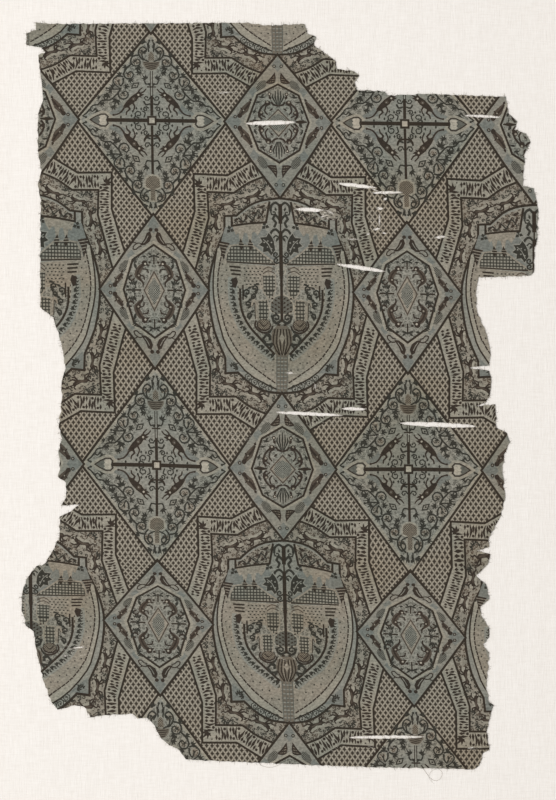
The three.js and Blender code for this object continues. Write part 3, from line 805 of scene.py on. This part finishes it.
def whole_chart():
    """Every shape of the pattern that can reach the fragment, from the ground up."""
    panels, scrolls, roundel = four_ways(quarter_panels()), scroll_diamond(), tree_roundel()
    tall, birds = long_diamond(), bird_diamond()
    cells = [(column, row) for row in range(-1, 5) for column in range(-1, 4)]
    layers = [
        (panels, lambda column, row: column % 2 == 0 and row % 2 == 0),
        (scrolls, lambda column, row: column % 2 == 0 and row % 2 == 0),
        (roundel, lambda column, row: column % 2 and row % 2),
        (tall, lambda column, row: column % 2 == 0 and row % 2),
        (birds, lambda column, row: column % 2 and row % 2 == 0),
    ]
    shapes = []
    for motif, belongs in layers:
        for column, row in cells:
            if belongs(column, row):
                shapes += placed(motif, complex(column * HALF_WIDTH, row * HALF_LENGTH))
    return shapes


def on_mount(points):
    """Chart points as steps from the mount's middle, x right and y down, after the cloth's uneven beating."""
    rows = [row["chart"] for row in WOVEN_ROWS]
    level = {name: np.interp(points.imag, rows, [row[name] for row in WOVEN_ROWS]) for name in ROW_COLUMNS}
    share = points.real / (2 * HALF_WIDTH)
    between = np.maximum(0, 1 - abs(2 * share - 1))
    down = level["left"] + (level["right"] - level["left"]) * share + level["sag"] * between
    sides = np.clip(share, 0, 1)
    level_stray = level["stray_left"] + (level["stray_right"] - level["stray_left"]) * sides
    stray = level_stray + (level["stray"] - (level["stray_left"] + level["stray_right"]) / 2) * between
    return FIRST_COLUMN + points.real + LEAN * (down - MIDDLE_ROW) + stray + 1j * down


def on_chart(spots):
    """The chart's place of steps from the mount's middle, found by closing in on it."""
    chart = spots - complex(FIRST_COLUMN, MIDDLE_ROW)
    for _ in range(12):
        chart = chart + spots - on_mount(chart)
    return chart


# Materials

def shade(sRGB):
    """An sRGB colour of 0 to 255 as linear light with full cover."""
    return (*[((c / 255 + 0.055) / 1.055) ** 2.4 for c in sRGB], 1)


class Field:
    """A number that varies over a surface: a node's socket with operators that add Math nodes."""

    def __init__(self, finish, socket):
        self.finish = finish
        self.socket = socket

    def math(self, operation, *others):
        values = [self, *others]
        settings = {"operation": operation}
        return self.finish.add("ShaderNodeMath", settings, dict(enumerate(values)))

    def __add__(self, other):
        return self.math("ADD", other)

    def __sub__(self, other):
        return self.math("SUBTRACT", other)

    def __mul__(self, other):
        return self.math("MULTIPLY", other)

    def __truediv__(self, other):
        return self.math("DIVIDE", other)

    def __rsub__(self, other):
        return self * -1 + other

    __radd__ = __add__
    __rmul__ = __mul__

    def above(self, edge, soft):
        """0 below the edge, 1 from soft above it."""
        settings = {"operation": "MULTIPLY", "use_clamp": True}
        return self.finish.add("ShaderNodeMath", settings, {0: self - edge, 1: 1 / soft})


class Finish:
    """A material built up node by node on its Principled shader."""

    def __init__(self, name, **constants):
        self.material = bpy.data.materials.new(name)
        self.material.use_nodes = True
        self.tree = self.material.node_tree
        self.surface = self.tree.nodes["Principled BSDF"]
        for socket, value in constants.items():
            self.surface.inputs[socket.replace("_", " ")].default_value = value
        self.place = self.add("ShaderNodeTexCoord", {}, {}, "Object")

    def feed(self, socket, value):
        if isinstance(value, Field):
            self.tree.links.new(value.socket, socket)
        else:
            socket.default_value = value

    def add(self, kind, settings, inputs, output=0):
        """A node of that kind, its settings and its sockets' values or links. Gives one of its outputs."""
        node = self.tree.nodes.new(kind)
        for name, value in settings.items():
            setattr(node, name, value)
        for name, value in inputs.items():
            self.feed(node.inputs[name], value)
        return Field(self, node.outputs[output])

    def attribute(self, name, output):
        return self.add("ShaderNodeAttribute", {"attribute_name": name}, {}, output)

    def noise(self, scale, detail, stretch=(1, 1, 1)):
        """Noise from 0 to 1 with scale patches a metre, stretched by dividing each axis."""
        scales = [scale / part for part in stretch]
        stretched = self.add("ShaderNodeMapping", {}, {"Vector": self.place, "Scale": scales})
        return self.add("ShaderNodeTexNoise", {}, {"Vector": stretched, "Scale": 1, "Detail": detail},
                        "Fac")

    def mix(self, share, first, second, blend="MIX"):
        settings = {"data_type": "RGBA", "blend_type": blend, "clamp_factor": True}
        return self.add("ShaderNodeMix", settings, {0: share, 6: first, 7: second}, 2)

    def finish(self, colour, relief=None, depth=0.0001, rough=None):
        self.feed(self.surface.inputs["Base Color"], colour)
        if rough:
            self.feed(self.surface.inputs["Roughness"], rough)
        if relief:
            bump = self.add("ShaderNodeBump", {}, {"Height": relief, "Distance": depth, "Strength": 1})
            self.feed(self.surface.inputs["Normal"], bump)
        return self.material


def star_field(across, down):
    """Small dark stars in staggered rows, and the pale lattice between them."""
    across_star = across.math("PINGPONG", STAR_PITCH[0] / 2)
    down_star = down.math("PINGPONG", STAR_PITCH[1])
    near = (across_star / STAR_REACH[0]).math("POWER", 0.7) + (down_star / STAR_REACH[1]).math("POWER", 0.7)
    far_across = (STAR_PITCH[0] / 2 - across_star) / STAR_REACH[0]
    far_down = (STAR_PITCH[1] - down_star) / STAR_REACH[1]
    far = far_across.math("POWER", 0.7) + far_down.math("POWER", 0.7)
    star = (1.12 - near.math("MINIMUM", far)).above(0, 0.3)
    between = across_star / (STAR_PITCH[0] / 2) + down_star / STAR_PITCH[1] - 1
    lattice = (0.34 - between.math("ABSOLUTE")).above(0, 0.22)
    return star, lattice


def vine_field(silk, across, down, pitch):
    """Close-set curls, each turned its own way, and buds between them."""
    place = silk.add("ShaderNodeCombineXYZ", {}, {0: across / pitch, 1: down / pitch})
    settings = {"voronoi_dimensions": "2D", "feature": "F1"}
    inputs = {"Vector": place, "Scale": 1, "Randomness": 0.75}
    cell = silk.add("ShaderNodeTexVoronoi", settings, inputs, "Distance")
    outputs = cell.socket.node.outputs
    centre = Field(silk, outputs["Position"])
    offset = silk.add("ShaderNodeVectorMath", {"operation": "SUBTRACT"}, {0: place, 1: centre})
    parts = silk.add("ShaderNodeSeparateXYZ", {}, {0: offset}, "X")
    chance = silk.add("ShaderNodeSeparateColor", {}, {0: Field(silk, outputs["Color"])}, "Red")
    other = Field(silk, chance.socket.node.outputs["Green"])
    angle = Field(silk, parts.socket.node.outputs["Y"]).math("ARCTAN2", parts) / (2 * math.pi)
    turn = ((angle + chance + 1).math("FRACT") - other.above(0.5, 0.01)).math("ABSOLUTE")
    arm = 0.34 - (cell - turn * 0.42 - 0.06).math("ABSOLUTE") * 2.6
    bud = 0.2 - cell
    return (arm.math("MAXIMUM", bud) + 0.02).above(0, 0.16)


def silk_finish():
    silk = Finish("aged_silk", Roughness=0.8, Specular_IOR_Level=0.2)
    colour = silk.attribute("yarn", "Color")
    spot = silk.add("ShaderNodeUVMap", {"uv_map": "chart"}, {})
    chart = silk.add("ShaderNodeSeparateXYZ", {}, {0: spot}, "X")
    across = (chart * 100).math("PINGPONG", HALF_WIDTH)
    down = (Field(silk, chart.socket.node.outputs["Y"]) * 100).math("PINGPONG", HALF_LENGTH)
    star, lattice = star_field(across, down)
    figure = silk.attribute("figure", "Fac")
    starred, vined, ruled, dotted, sprayed, flecked = [figure.math("COMPARE", k, 0.1) for k in range(1, 7)]
    colour = silk.mix(lattice * starred, colour, shade(STAR_LATTICE))
    colour = silk.mix(star * starred, colour, shade(STAR))
    leafy = silk.mix(silk.noise(70, 2).above(0.42, 0.16) * vined, shade(YARNS["scroll"]),
                     shade((78, 66, 54)))
    colour = silk.mix(vine_field(silk, across, down, 4.3) * (vined + sprayed * 0.6), colour, leafy)
    row = (0.95 - down.math("PINGPONG", 1.75)).above(0, 0.5)
    post = (0.8 - across.math("PINGPONG", 1.6)).above(0, 0.5)
    colour = silk.mix(row.math("MAXIMUM", post) * ruled, colour, shade(YARNS["scroll"]))
    dot = (across.math("PINGPONG", 1.1) + down.math("PINGPONG", 1.1)) * 0.864
    speck = (0.78 - dot).math("MAXIMUM", dot - 1.12).above(0, 0.3)
    colour = silk.mix(speck * dotted, colour, shade(YARNS["scroll"]))
    colour = silk.mix(silk.noise(420, 2).above(0.52, 0.12) * flecked * 0.5, colour, shade(YARNS["ochre"]))
    # Faded blue and brown areas, worn threads, and the rows of weft
    blue = silk.noise(24, 3).above(0.44, 0.2) * (1 - starred * 0.8)
    colour = silk.mix(blue, colour, (0.83, 0.89, 0.9, 1), "MULTIPLY")
    brown = silk.noise(17, 4, (1.3, 1, 1)).above(0.5, 0.25)
    colour = silk.mix(brown, colour, (0.95, 0.89, 0.82, 1), "MULTIPLY")
    grain = silk.noise(560, 2, (1.5, 1, 1)) * 0.9 + silk.noise(1500, 1, (2, 1, 1)) * 0.5
    light = grain.math("SUBTRACT", 0.7) * 1.3
    value = silk.add("ShaderNodeCombineColor", {}, {0: light + 1, 1: light + 1, 2: light + 1})
    colour = silk.mix(1.0, colour, value, "MULTIPLY")
    return silk.finish(colour, grain, 0.0002)


def linen_finish():
    linen = Finish("mount_linen", Roughness=0.9, Specular_IOR_Level=0.15)
    warp = linen.noise(1, 2, (0.0011, 0.012, 0.01))
    weft = linen.noise(1, 2, (0.012, 0.0011, 0.01))
    slub = linen.noise(1, 2, (0.003, 0.16, 0.05)).above(0.42, 0.3)
    relief = warp + weft
    light = (relief - 1) * 0.42 + slub * 0.05
    tone = linen.mix(light + 0.5, shade((220, 212, 203)), shade((252, 248, 243)))
    return linen.finish(tone, relief, 0.0003)


def wood_finish(name, along):
    """Pale wood with its grain along the named axis."""
    stretch = (0.5, 0.006, 0.006) if along == "x" else (0.006, 0.5, 0.006)
    wood = Finish(name, Roughness=0.5)
    broad = wood.noise(1, 3, stretch)
    fine = wood.noise(1, 2, [part / 7 for part in stretch])
    figure = (broad * 14).math("SINE") * 0.5 + 0.5
    tone = wood.mix(figure * 0.5 + fine * 0.5, shade((176, 146, 108)), shade((206, 180, 144)))
    return wood.finish(tone, fine, 0.0001, fine * 0.25 + 0.38)


def card_finish():
    card = Finish("mount_card", Roughness=0.85)
    fibres = card.noise(900, 3)
    tone = card.mix(fibres, shade((206, 197, 178)), shade((226, 219, 203)))
    return card.finish(tone, fibres, 0.00008)


def floor_finish():
    floor = Finish("pale_floor", Roughness=0.9)
    tone = floor.mix(floor.noise(9, 3), shade((226, 225, 222)), shade((236, 235, 232)))
    return floor.finish(tone)


def thread_finish():
    thread = Finish("loose_threads", Roughness=0.85, Specular_IOR_Level=0.2)
    fleck = thread.noise(900, 1)
    tone = thread.mix(fleck * 0.4, thread.attribute("yarn", "Color"), shade((190, 182, 166)))
    return thread.finish(tone, fleck, 0.00005)


# The silk

SILK_THICKNESS = 0.0006
EDGE_STEP = 0.003
GRID_STEP = 0.022

# Small slits and worn holes, too narrow for the solid: middle, length and gape in steps, x right and y down
SLITS = table(
    ("x", "y", "length", "gape", "rise"),
    (
        (-54, -307.5, 13, 1.8, 0.6),
        (162, -163, 13, 2.7, 0.8),
        (101.5, -191.5, 7, 3.4, 1),
        (101.4, -180, 0.6, 1.9, -15),
        (98.4, -171, 8, 2.6, 0.6),
        (90, -166, 4, 2, 1),
        (106, -167, 6, 1.6, -1),
        (107, -201, 4, 2.4, 3),
        (75.6, -160.8, 15, 1, 0),
        (46, -184, 8, 2.4, 3),
        (52, -188, 7, 2.2, -3),
        (-200, 247.6, 14, 1.9, 2.4),
        (-213, 256, 6, 1.2, 1.4),
        (193, 348, 9, 1.3, 1),
        (96, -210.6, 10, 1.6, -4),
        (12, -27, 8, 2.2, 0),
        (37, -13.4, 1, 1.5, -8),
        (-39, 274, 4, 1, 3),
        (-28, -324.6, 5, 1, 1),
    ),
)


def rings(edges):
    """The directed edges joined into closed lists of point numbers."""
    onward = {}
    for a, b in edges:
        onward.setdefault(a, []).append(b)
    found = []
    while onward:
        start = next(iter(onward))
        ring, here = [], start
        while here in onward:
            ring.append(here)
            following = onward[here].pop()
            if not onward[here]:
                del onward[here]
            here = following
        found.append(ring)
    return found


def outer_edges(faces):
    """The edges that belong to one face only, in that face's direction."""
    sides = {(face[k - 1], face[k]) for face in faces for k in range(len(face))}
    return [(a, b) for a, b in sides if (b, a) not in sides]


def cad_rings(node):
    """The outlines of a flat node's upper face: closed lists of complex metres, x right and y up."""
    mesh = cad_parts[node].data
    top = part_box(node)[1][2]
    flat = {}
    faces = []
    for polygon in mesh.polygons:
        corners = [mesh.vertices[i].co for i in polygon.vertices]
        if all(top - corner.z < 1e-5 for corner in corners):
            keys = [(round(corner.x, 6), round(corner.y, 6)) for corner in corners]
            faces.append([flat.setdefault(key, len(flat)) for key in keys])
    spots = [complex(*key) for key in flat]
    return [[spots[i] for i in ring] for ring in rings(outer_edges(faces))]


def area_of(ring):
    return sum((a.conjugate() * b).imag for a, b in zip(ring, ring[1:] + ring[:1])) / 2


def worn_edge(ring, seed, stray=0.00035):
    """A finer outline whose threads stray from the solid's edge."""
    draw = random.Random(seed)
    points = []
    for a, b in zip(ring, ring[1:] + ring[:1]):
        count = max(1, round(abs(b - a) / EDGE_STEP))
        side = 1j * unit(b - a)
        points += [a + (b - a) * k / count + side * draw.uniform(-stray, stray) for k in range(count)]
    return points


def slit_outline(slit):
    """A crooked pointed slot in metres, x right and y up."""
    steps = 6
    half = complex(slit["length"], slit["rise"]) / 2
    middle = complex(slit["x"], -slit["y"])
    lips = []
    for side in (-1, 1):
        for k in range(steps):
            share = k / steps
            along = half * (2 * share - 1) * -side
            crooked = 1 + 0.3 * math.sin(5 * k + slit["x"])
            gape = slit["gape"] / 2 * math.sin(math.pi * share) ** 0.7 * crooked
            lips.append((middle + along + 1j * unit(half) * side * gape) * STEP)
    return lips


def lift(x, y):
    """How far the cloth lies unevenly above the linen."""
    broad = 0.5 + 0.25 * math.sin(x * 21 + 1.3) * math.cos(y * 17) + 0.25 * math.sin((x + y) * 37)
    return 0.00022 * broad


class Cloth:
    """Flat triangles sorted by the topmost shape that covers them."""

    def __init__(self, outline, holes, shapes, grid):
        self.shapes = shapes
        points, faces = [], []
        for ring in [outline, *holes]:
            faces.append(list(range(len(points), len(points) + len(ring))))
            points += ring
        for ring, yarn in shapes:
            faces.append(list(range(len(points), len(points) + len(ring))))
            points += ring
        ordered = [face if area_of([points[i] for i in face]) > 0 else face[::-1] for face in faces]
        flat = [Vector((p.real, p.imag)) for p in points + grid]
        spots, _, found, _, _, owners = delaunay_2d_cdt(flat, [], ordered, 1, 1e-4, True)
        first_shape = 1 + len(holes)
        kept = [(face, max(owner)) for face, owner in zip(found, owners)
                if 0 in owner and not any(0 < i < first_shape for i in owner)]
        number = {}
        self.faces = [[number.setdefault(i, len(number)) for i in face] for face, _ in kept]
        self.points = [tuple(spots[i]) for i in number]
        self.tops = [top - first_shape for _, top in kept]


def filled(loops, points):
    """Triangles between the first loop of point numbers and the others, as places in the joined loops."""
    faces, first = [], 0
    for loop in loops:
        ring = list(range(first, first + len(loop)))
        faces.append(ring if area_of([complex(*points[a]) for a in loop]) > 0 else ring[::-1])
        first += len(loop)
    flat = [Vector(points[a]) for loop in loops for a in loop]
    _, _, triangles, origins, _, owners = delaunay_2d_cdt(flat, [], faces, 1, 1e-5, True)
    return [[origins[i][0] for i in face] for face, owner in zip(triangles, owners) if list(owner) == [0]]


def silk_outline():
    loops = sorted(cad_rings("silk_fragment"), key=lambda ring: -abs(area_of(ring)))
    outline = worn_edge(loops[0], 1)
    tears = [grown(worn_edge(ring, 2 + i, 0.0002), 0.0005) for i, ring in enumerate(loops[1:])]
    return outline, tears + [slit_outline(slit) for slit in SLITS]


def new_piece(name, points, faces, material):
    mesh = bpy.data.meshes.new(name)
    mesh.from_pydata(points, [], faces)
    mesh.materials.append(material)
    piece = bpy.data.objects.new(name, mesh)
    bpy.context.collection.objects.link(piece)
    return piece


def paint(piece, colours):
    """A colour for each face."""
    layer = piece.data.attributes.new("yarn", "FLOAT_COLOR", "FACE")
    layer.data.foreach_set("color", [part for colour in colours for part in colour])


def make_silk(outline, holes):
    """The whole fragment as one closed sheet, its upper face divided along its pattern."""
    low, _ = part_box("silk_fragment")
    in_steps = [[p / STEP for p in ring] for ring in (outline, *holes)]
    reach = max(abs(p.real) for p in in_steps[0]) + 4, max(abs(p.imag) for p in in_steps[0]) + 4
    shapes = []
    for points, yarn in whole_chart():
        spread = on_mount(np.array(points))
        if abs(spread.real).min() < reach[0] and abs(spread.imag).min() < reach[1]:
            shapes.append((list(spread.conjugate()), yarn))
    spacing = GRID_STEP / STEP
    grid = [
        complex(x, y)
        for x in np.arange(-reach[0], reach[0], spacing)
        for y in np.arange(-reach[1], reach[1], spacing)
    ]
    cloth = Cloth(in_steps[0], in_steps[1:], shapes, grid)
    rim = outer_edges(cloth.faces)
    spots = [complex(x, y) * STEP for x, y in cloth.points]
    upper = [(p.real, p.imag, low[2] + SILK_THICKNESS + lift(p.real, p.imag)) for p in spots]
    loops = sorted(rings(rim), key=lambda ring: -abs(area_of([spots[a] for a in ring])))
    edge_points = [a for ring in loops for a in ring]
    below = {a: len(upper) + i for i, a in enumerate(edge_points)}
    back = [[below[edge_points[i]] for i in face][::-1] for face in filled(loops, cloth.points)]
    lower = [(spots[a].real, spots[a].imag, low[2] + lift(spots[a].real,
                                                          spots[a].imag)) for a in edge_points]
    walls = [[b, a, below[a], below[b]] for a, b in rim]
    faces = cloth.faces + back + walls
    silk = new_piece("silk_weave", upper + lower, faces, silk_finish())
    yarns = [cloth.shapes[top][1] if top >= 0 else "pale" for top in cloth.tops]
    plain = len(back) + len(walls)
    paint(silk, [shade(YARNS[yarn]) for yarn in yarns] + [shade(YARNS["pale"])] * plain)
    layer = silk.data.attributes.new("figure", "FLOAT", "FACE")
    layer.data.foreach_set("value", [float(FIGURED.get(yarn, 0)) for yarn in yarns] + [0.0] * plain)
    chart = on_chart(np.array([complex(p[0], -p[1]) / STEP for p in upper + lower])) / 100
    corners = np.empty(len(silk.data.loops), dtype=np.int32)
    silk.data.loops.foreach_get("vertex_index", corners)
    layer = silk.data.uv_layers.new(name="chart")
    places = np.stack([chart.real[corners], chart.imag[corners]], axis=1)
    layer.data.foreach_set("uv", places.astype(np.float32).ravel())
    area = sum(face.area for face in silk.data.polygons[:len(cloth.faces)])
    return silk, area


def tube(path, radius, start):
    """A three-sided tapering thread: its points and faces, numbered from start."""
    points, faces = [], []
    for k, (x, y, z) in enumerate(path):
        ahead, behind = path[min(k + 1, len(path) - 1)], path[max(k - 1, 0)]
        side = 1j * unit(complex(ahead[0] - behind[0], ahead[1] - behind[1]))
        thin = radius * (1 - 0.6 * k / (len(path) - 1))
        points += [
            (x + side.real * thin, y + side.imag * thin, z - thin * 0.5),
            (x - side.real * thin, y - side.imag * thin, z - thin * 0.5),
            (x, y, z + thin),
        ]
    for k in range(len(path) - 1):
        for side in range(3):
            a, b = start + 3 * k + side, start + 3 * k + (side + 1) % 3
            faces.append([a, b, b + 3, a + 3])
    last = start + 3 * (len(path) - 1)
    return points, faces + [[start + 2, start + 1, start], [last, last + 1, last + 2]]


EDGE_TONES = ((92, 80, 66), (128, 120, 106), (150, 142, 128), (70, 60, 50), (110, 100, 88))
TEAR_TONES = ((236, 230, 220), (214, 206, 193), (190, 182, 168), (150, 142, 128))
WORN_TONES = ((214, 207, 195), (188, 180, 166), (238, 232, 222))

# Threadbare spots, where pale weft lies bare: middle, half width and half height in steps, and threads
THREADBARE = table(
    ("x", "y", "wide", "high", "threads"),
    (
        (49, -185, 8, 5, 110),
        (-52, -307.6, 11, 1, 26),
        (97, -181, 7, 14, 40),
        (167, -163, 7, 1, 14),
        (72, -161, 10, 1, 12),
        (-204, 251, 13, 6, 34),
        (196, 348, 6, 1.5, 14),
        (37, -13, 1.6, 4, 10),
        (12, -27, 5, 1, 12),
        (-38, 37, 10, 4, 30),
        (-39, 274, 3, 4, 8),
        (5, 262, 3, 6, 10),
        (30, -270, 14, 3, 14),
        (34, 24, 26, 3, 26),
        (120, 36, 30, 3, 26),
        (84, 349, 34, 3, 26),
    ),
)

# Loose threads lying on the linen below the torn end, as points in steps
STRAYED = [
    [(143, 366), (147, 371), (152, 378), (158, 381), (163, 378), (164, 372), (159, 369), (153, 372),
     (151, 378), (156, 384)],
    [(-20, 362), (-16, 366), (-8, 367.6), (-1, 366), (3, 363)],
    [(-214, 32), (-210, 26), (-204, 22), (-199, 24), (-201, 29), (-207, 31)],
]


class Threads:
    """Thin threads gathered for one mesh."""

    def __init__(self):
        self.points, self.faces, self.colours = [], [], []

    def add(self, path, radius, tone):
        points, faces = tube(path, radius, len(self.points))
        self.points += points
        self.faces += faces
        self.colours += [shade(tone)] * len(faces)


def frayed_ends(threads, ring, spacing, reach, tones, draw, torn_open):
    """Loose ends of warp and weft along a cut edge, outwards or across a tear."""
    way_out = math.copysign(1, area_of(ring)) * (-1 if torn_open else 1)
    walk = Walk(ring + ring[:1])
    for _ in range(int(walk.length / spacing)):
        start, along = walk.at(draw.uniform(0, walk.length))
        out = -1j * along * way_out
        thread = complex(round(out.real), 0) if abs(out.real) > abs(out.imag) else complex(0,
                                                                                           round(out.imag))
        if torn_open and draw.random() < 0.7:
            thread = 4 * draw.choice((-1, 1))
        way = unit(thread + 0.4 * out + 0.3 * complex(draw.gauss(0, 1), draw.gauss(0, 1)))
        length = reach * draw.choice((0.0008, 0.0012, 0.0016, 0.0022, 0.0036))
        turn = draw.gauss(0, 0.25)
        here = start - way * 0.0005
        path = []
        for step in range(4):
            path.append((here.real, here.imag, THREAD_LEVEL - 0.0002 * step))
            here += way * length / 3
            way *= cmath.exp(1j * turn)
        threads.add(path, draw.uniform(0.00005, 0.00012), draw.choice(tones))


def make_fray(outline, holes):
    """Loose threads round the cut edges, across the tears, over the threadbare spots and on the linen."""
    draw = random.Random(17)
    threads = Threads()
    frayed_ends(threads, outline, 0.0016, 1, EDGE_TONES, draw, False)
    for hole in holes:
        frayed_ends(threads, hole, 0.0007, 1.1, TEAR_TONES, draw, True)
    for spot in THREADBARE:
        for _ in range(spot["threads"]):
            x = (spot["x"] + spot["wide"] * draw.uniform(-1, 1)) * STEP
            y = -(spot["y"] + spot["high"] * draw.uniform(-1, 1)) * STEP
            level = SILK_TOP + lift(x, y)
            length = draw.choice((0.0012, 0.002, 0.003))
            slope = draw.gauss(0, 0.12)
            path = [(x + length * k / 2, y + slope * length * k / 2, level) for k in range(3)]
            threads.add(path, draw.uniform(0.0001, 0.0002), draw.choice(WORN_TONES))
    for route in STRAYED:
        path = bend([complex(x, -y) * STEP for x, y in route], 3)
        threads.add([(p.real, p.imag, silk_low[2] + 0.0001) for p in path], 0.00012, (120, 108, 92))
    fray = new_piece("fray", threads.points, threads.faces, thread_finish())
    paint(fray, threads.colours)
    return fray


# The mount and the frame

def select_faces(piece, wanted):
    """Edit mode with only the wanted faces selected."""
    bpy.ops.object.mode_set(mode="OBJECT")
    for part in (piece.data.vertices, piece.data.edges, piece.data.polygons):
        part.foreach_set("select", [False] * len(part))
    for face in piece.data.polygons:
        face.select = wanted(face)
    bpy.ops.object.mode_set(mode="EDIT")
    bpy.ops.mesh.select_mode(type="FACE")


LINEN_THICKNESS = 0.0009
LINEN_TURN_IN = 0.028
LINEN_CORNER = 0.0016


def make_linen():
    """Linen stretched over the board, round its sides and a little way over its back."""
    low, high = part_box("linen_cover")
    size, middle = high - low, (high + low) / 2
    bpy.ops.object.select_all(action="DESELECT")
    bpy.ops.mesh.primitive_cube_add(size=1, location=middle, scale=size)
    linen = bpy.context.object
    linen.name = "linen_weave"
    bpy.ops.object.transform_apply(location=True, rotation=True, scale=True)
    bpy.ops.object.mode_set(mode="EDIT")
    bpy.ops.mesh.select_all(action="SELECT")
    bpy.ops.mesh.bevel(offset=LINEN_CORNER, offset_pct=0, segments=3, affect="EDGES")
    select_faces(linen, lambda face: face.normal.z < -0.999)
    bpy.ops.mesh.inset(thickness=LINEN_TURN_IN - LINEN_CORNER)
    bpy.ops.mesh.delete(type="FACE")
    bpy.ops.object.mode_set(mode="OBJECT")
    wall = linen.modifiers.new("wall", "SOLIDIFY")
    wall.thickness = LINEN_THICKNESS
    wall.offset = -1
    bpy.ops.object.modifier_apply(modifier="wall")
    linen.data.materials.append(linen_finish())
    return linen, (size[0] + 2 * size[2] + 2 * LINEN_TURN_IN, size[1] + 2 * size[2] + 2 * LINEN_TURN_IN)


def make_floor():
    low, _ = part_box("frame_left")
    bpy.ops.object.select_all(action="DESELECT")
    bpy.ops.mesh.primitive_plane_add(size=6, location=(0, 0, low[2]))
    floor = bpy.context.object
    floor.name = "floor"
    bpy.ops.object.transform_apply(location=True, rotation=True, scale=True)
    floor.data.materials.append(floor_finish())
    return floor


# The camera and the light

CAMERA_HEIGHT = 2.0
LENS = 100
WINDOW_PLACE = (-2.5, 0.2, 3.8)
WINDOW_ENERGY = 146
WINDOW_SIZE = 3
ROOM_LIGHT = 0.565
PHOTO_HEIGHT = 800


def make_camera(level):
    """Straight above the mount, with its view's longer side along the cloth's length."""
    view = bpy.data.cameras.new("camera")
    view.lens = LENS
    view.sensor_fit = "VERTICAL"
    view.sensor_height = LENS * PHOTO_HEIGHT * STEP / CAMERA_HEIGHT
    camera = bpy.data.objects.new("camera", view)
    camera.location = (0, 0, level + CAMERA_HEIGHT)
    bpy.context.collection.objects.link(camera)
    bpy.context.scene.camera = camera


def make_light():
    scene = bpy.context.scene
    scene.view_settings.view_transform = "Standard"
    world = bpy.data.worlds.new("studio")
    world.use_nodes = True
    world.node_tree.nodes["Background"].inputs["Color"].default_value = (1, 1, 1, 1)
    world.node_tree.nodes["Background"].inputs["Strength"].default_value = ROOM_LIGHT
    scene.world = world
    lamp = bpy.data.lights.new("window", "AREA")
    lamp.energy = WINDOW_ENERGY
    lamp.size = WINDOW_SIZE
    window = bpy.data.objects.new("window", lamp)
    window.location = WINDOW_PLACE
    window.rotation_euler = Vector(WINDOW_PLACE).to_track_quat("Z", "Y").to_euler()
    bpy.context.collection.objects.link(window)


silk_low, silk_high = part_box("silk_fragment")
SILK_TOP = silk_low[2] + SILK_THICKNESS
THREAD_LEVEL = silk_low[2] + SILK_THICKNESS * 0.7
silk_edge, silk_holes = silk_outline()
silk, silk_area = make_silk(silk_edge, silk_holes)
fray = make_fray(silk_edge, silk_holes)
linen, linen_cut = make_linen()
floor = make_floor()
make_camera(silk_high[2])
make_light()

for side in ("left", "right", "top", "bottom"):
    along = "x" if side in ("top", "bottom") else "y"
    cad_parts["frame_" + side].data.materials.clear()
    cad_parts["frame_" + side].data.materials.append(wood_finish("frame_wood_" + side, along))
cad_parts["mount_board"].data.materials.clear()
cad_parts["mount_board"].data.materials.append(card_finish())

for piece in (silk, fray, linen):
    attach(piece, "root")
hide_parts("silk_fragment")
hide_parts("linen_cover")
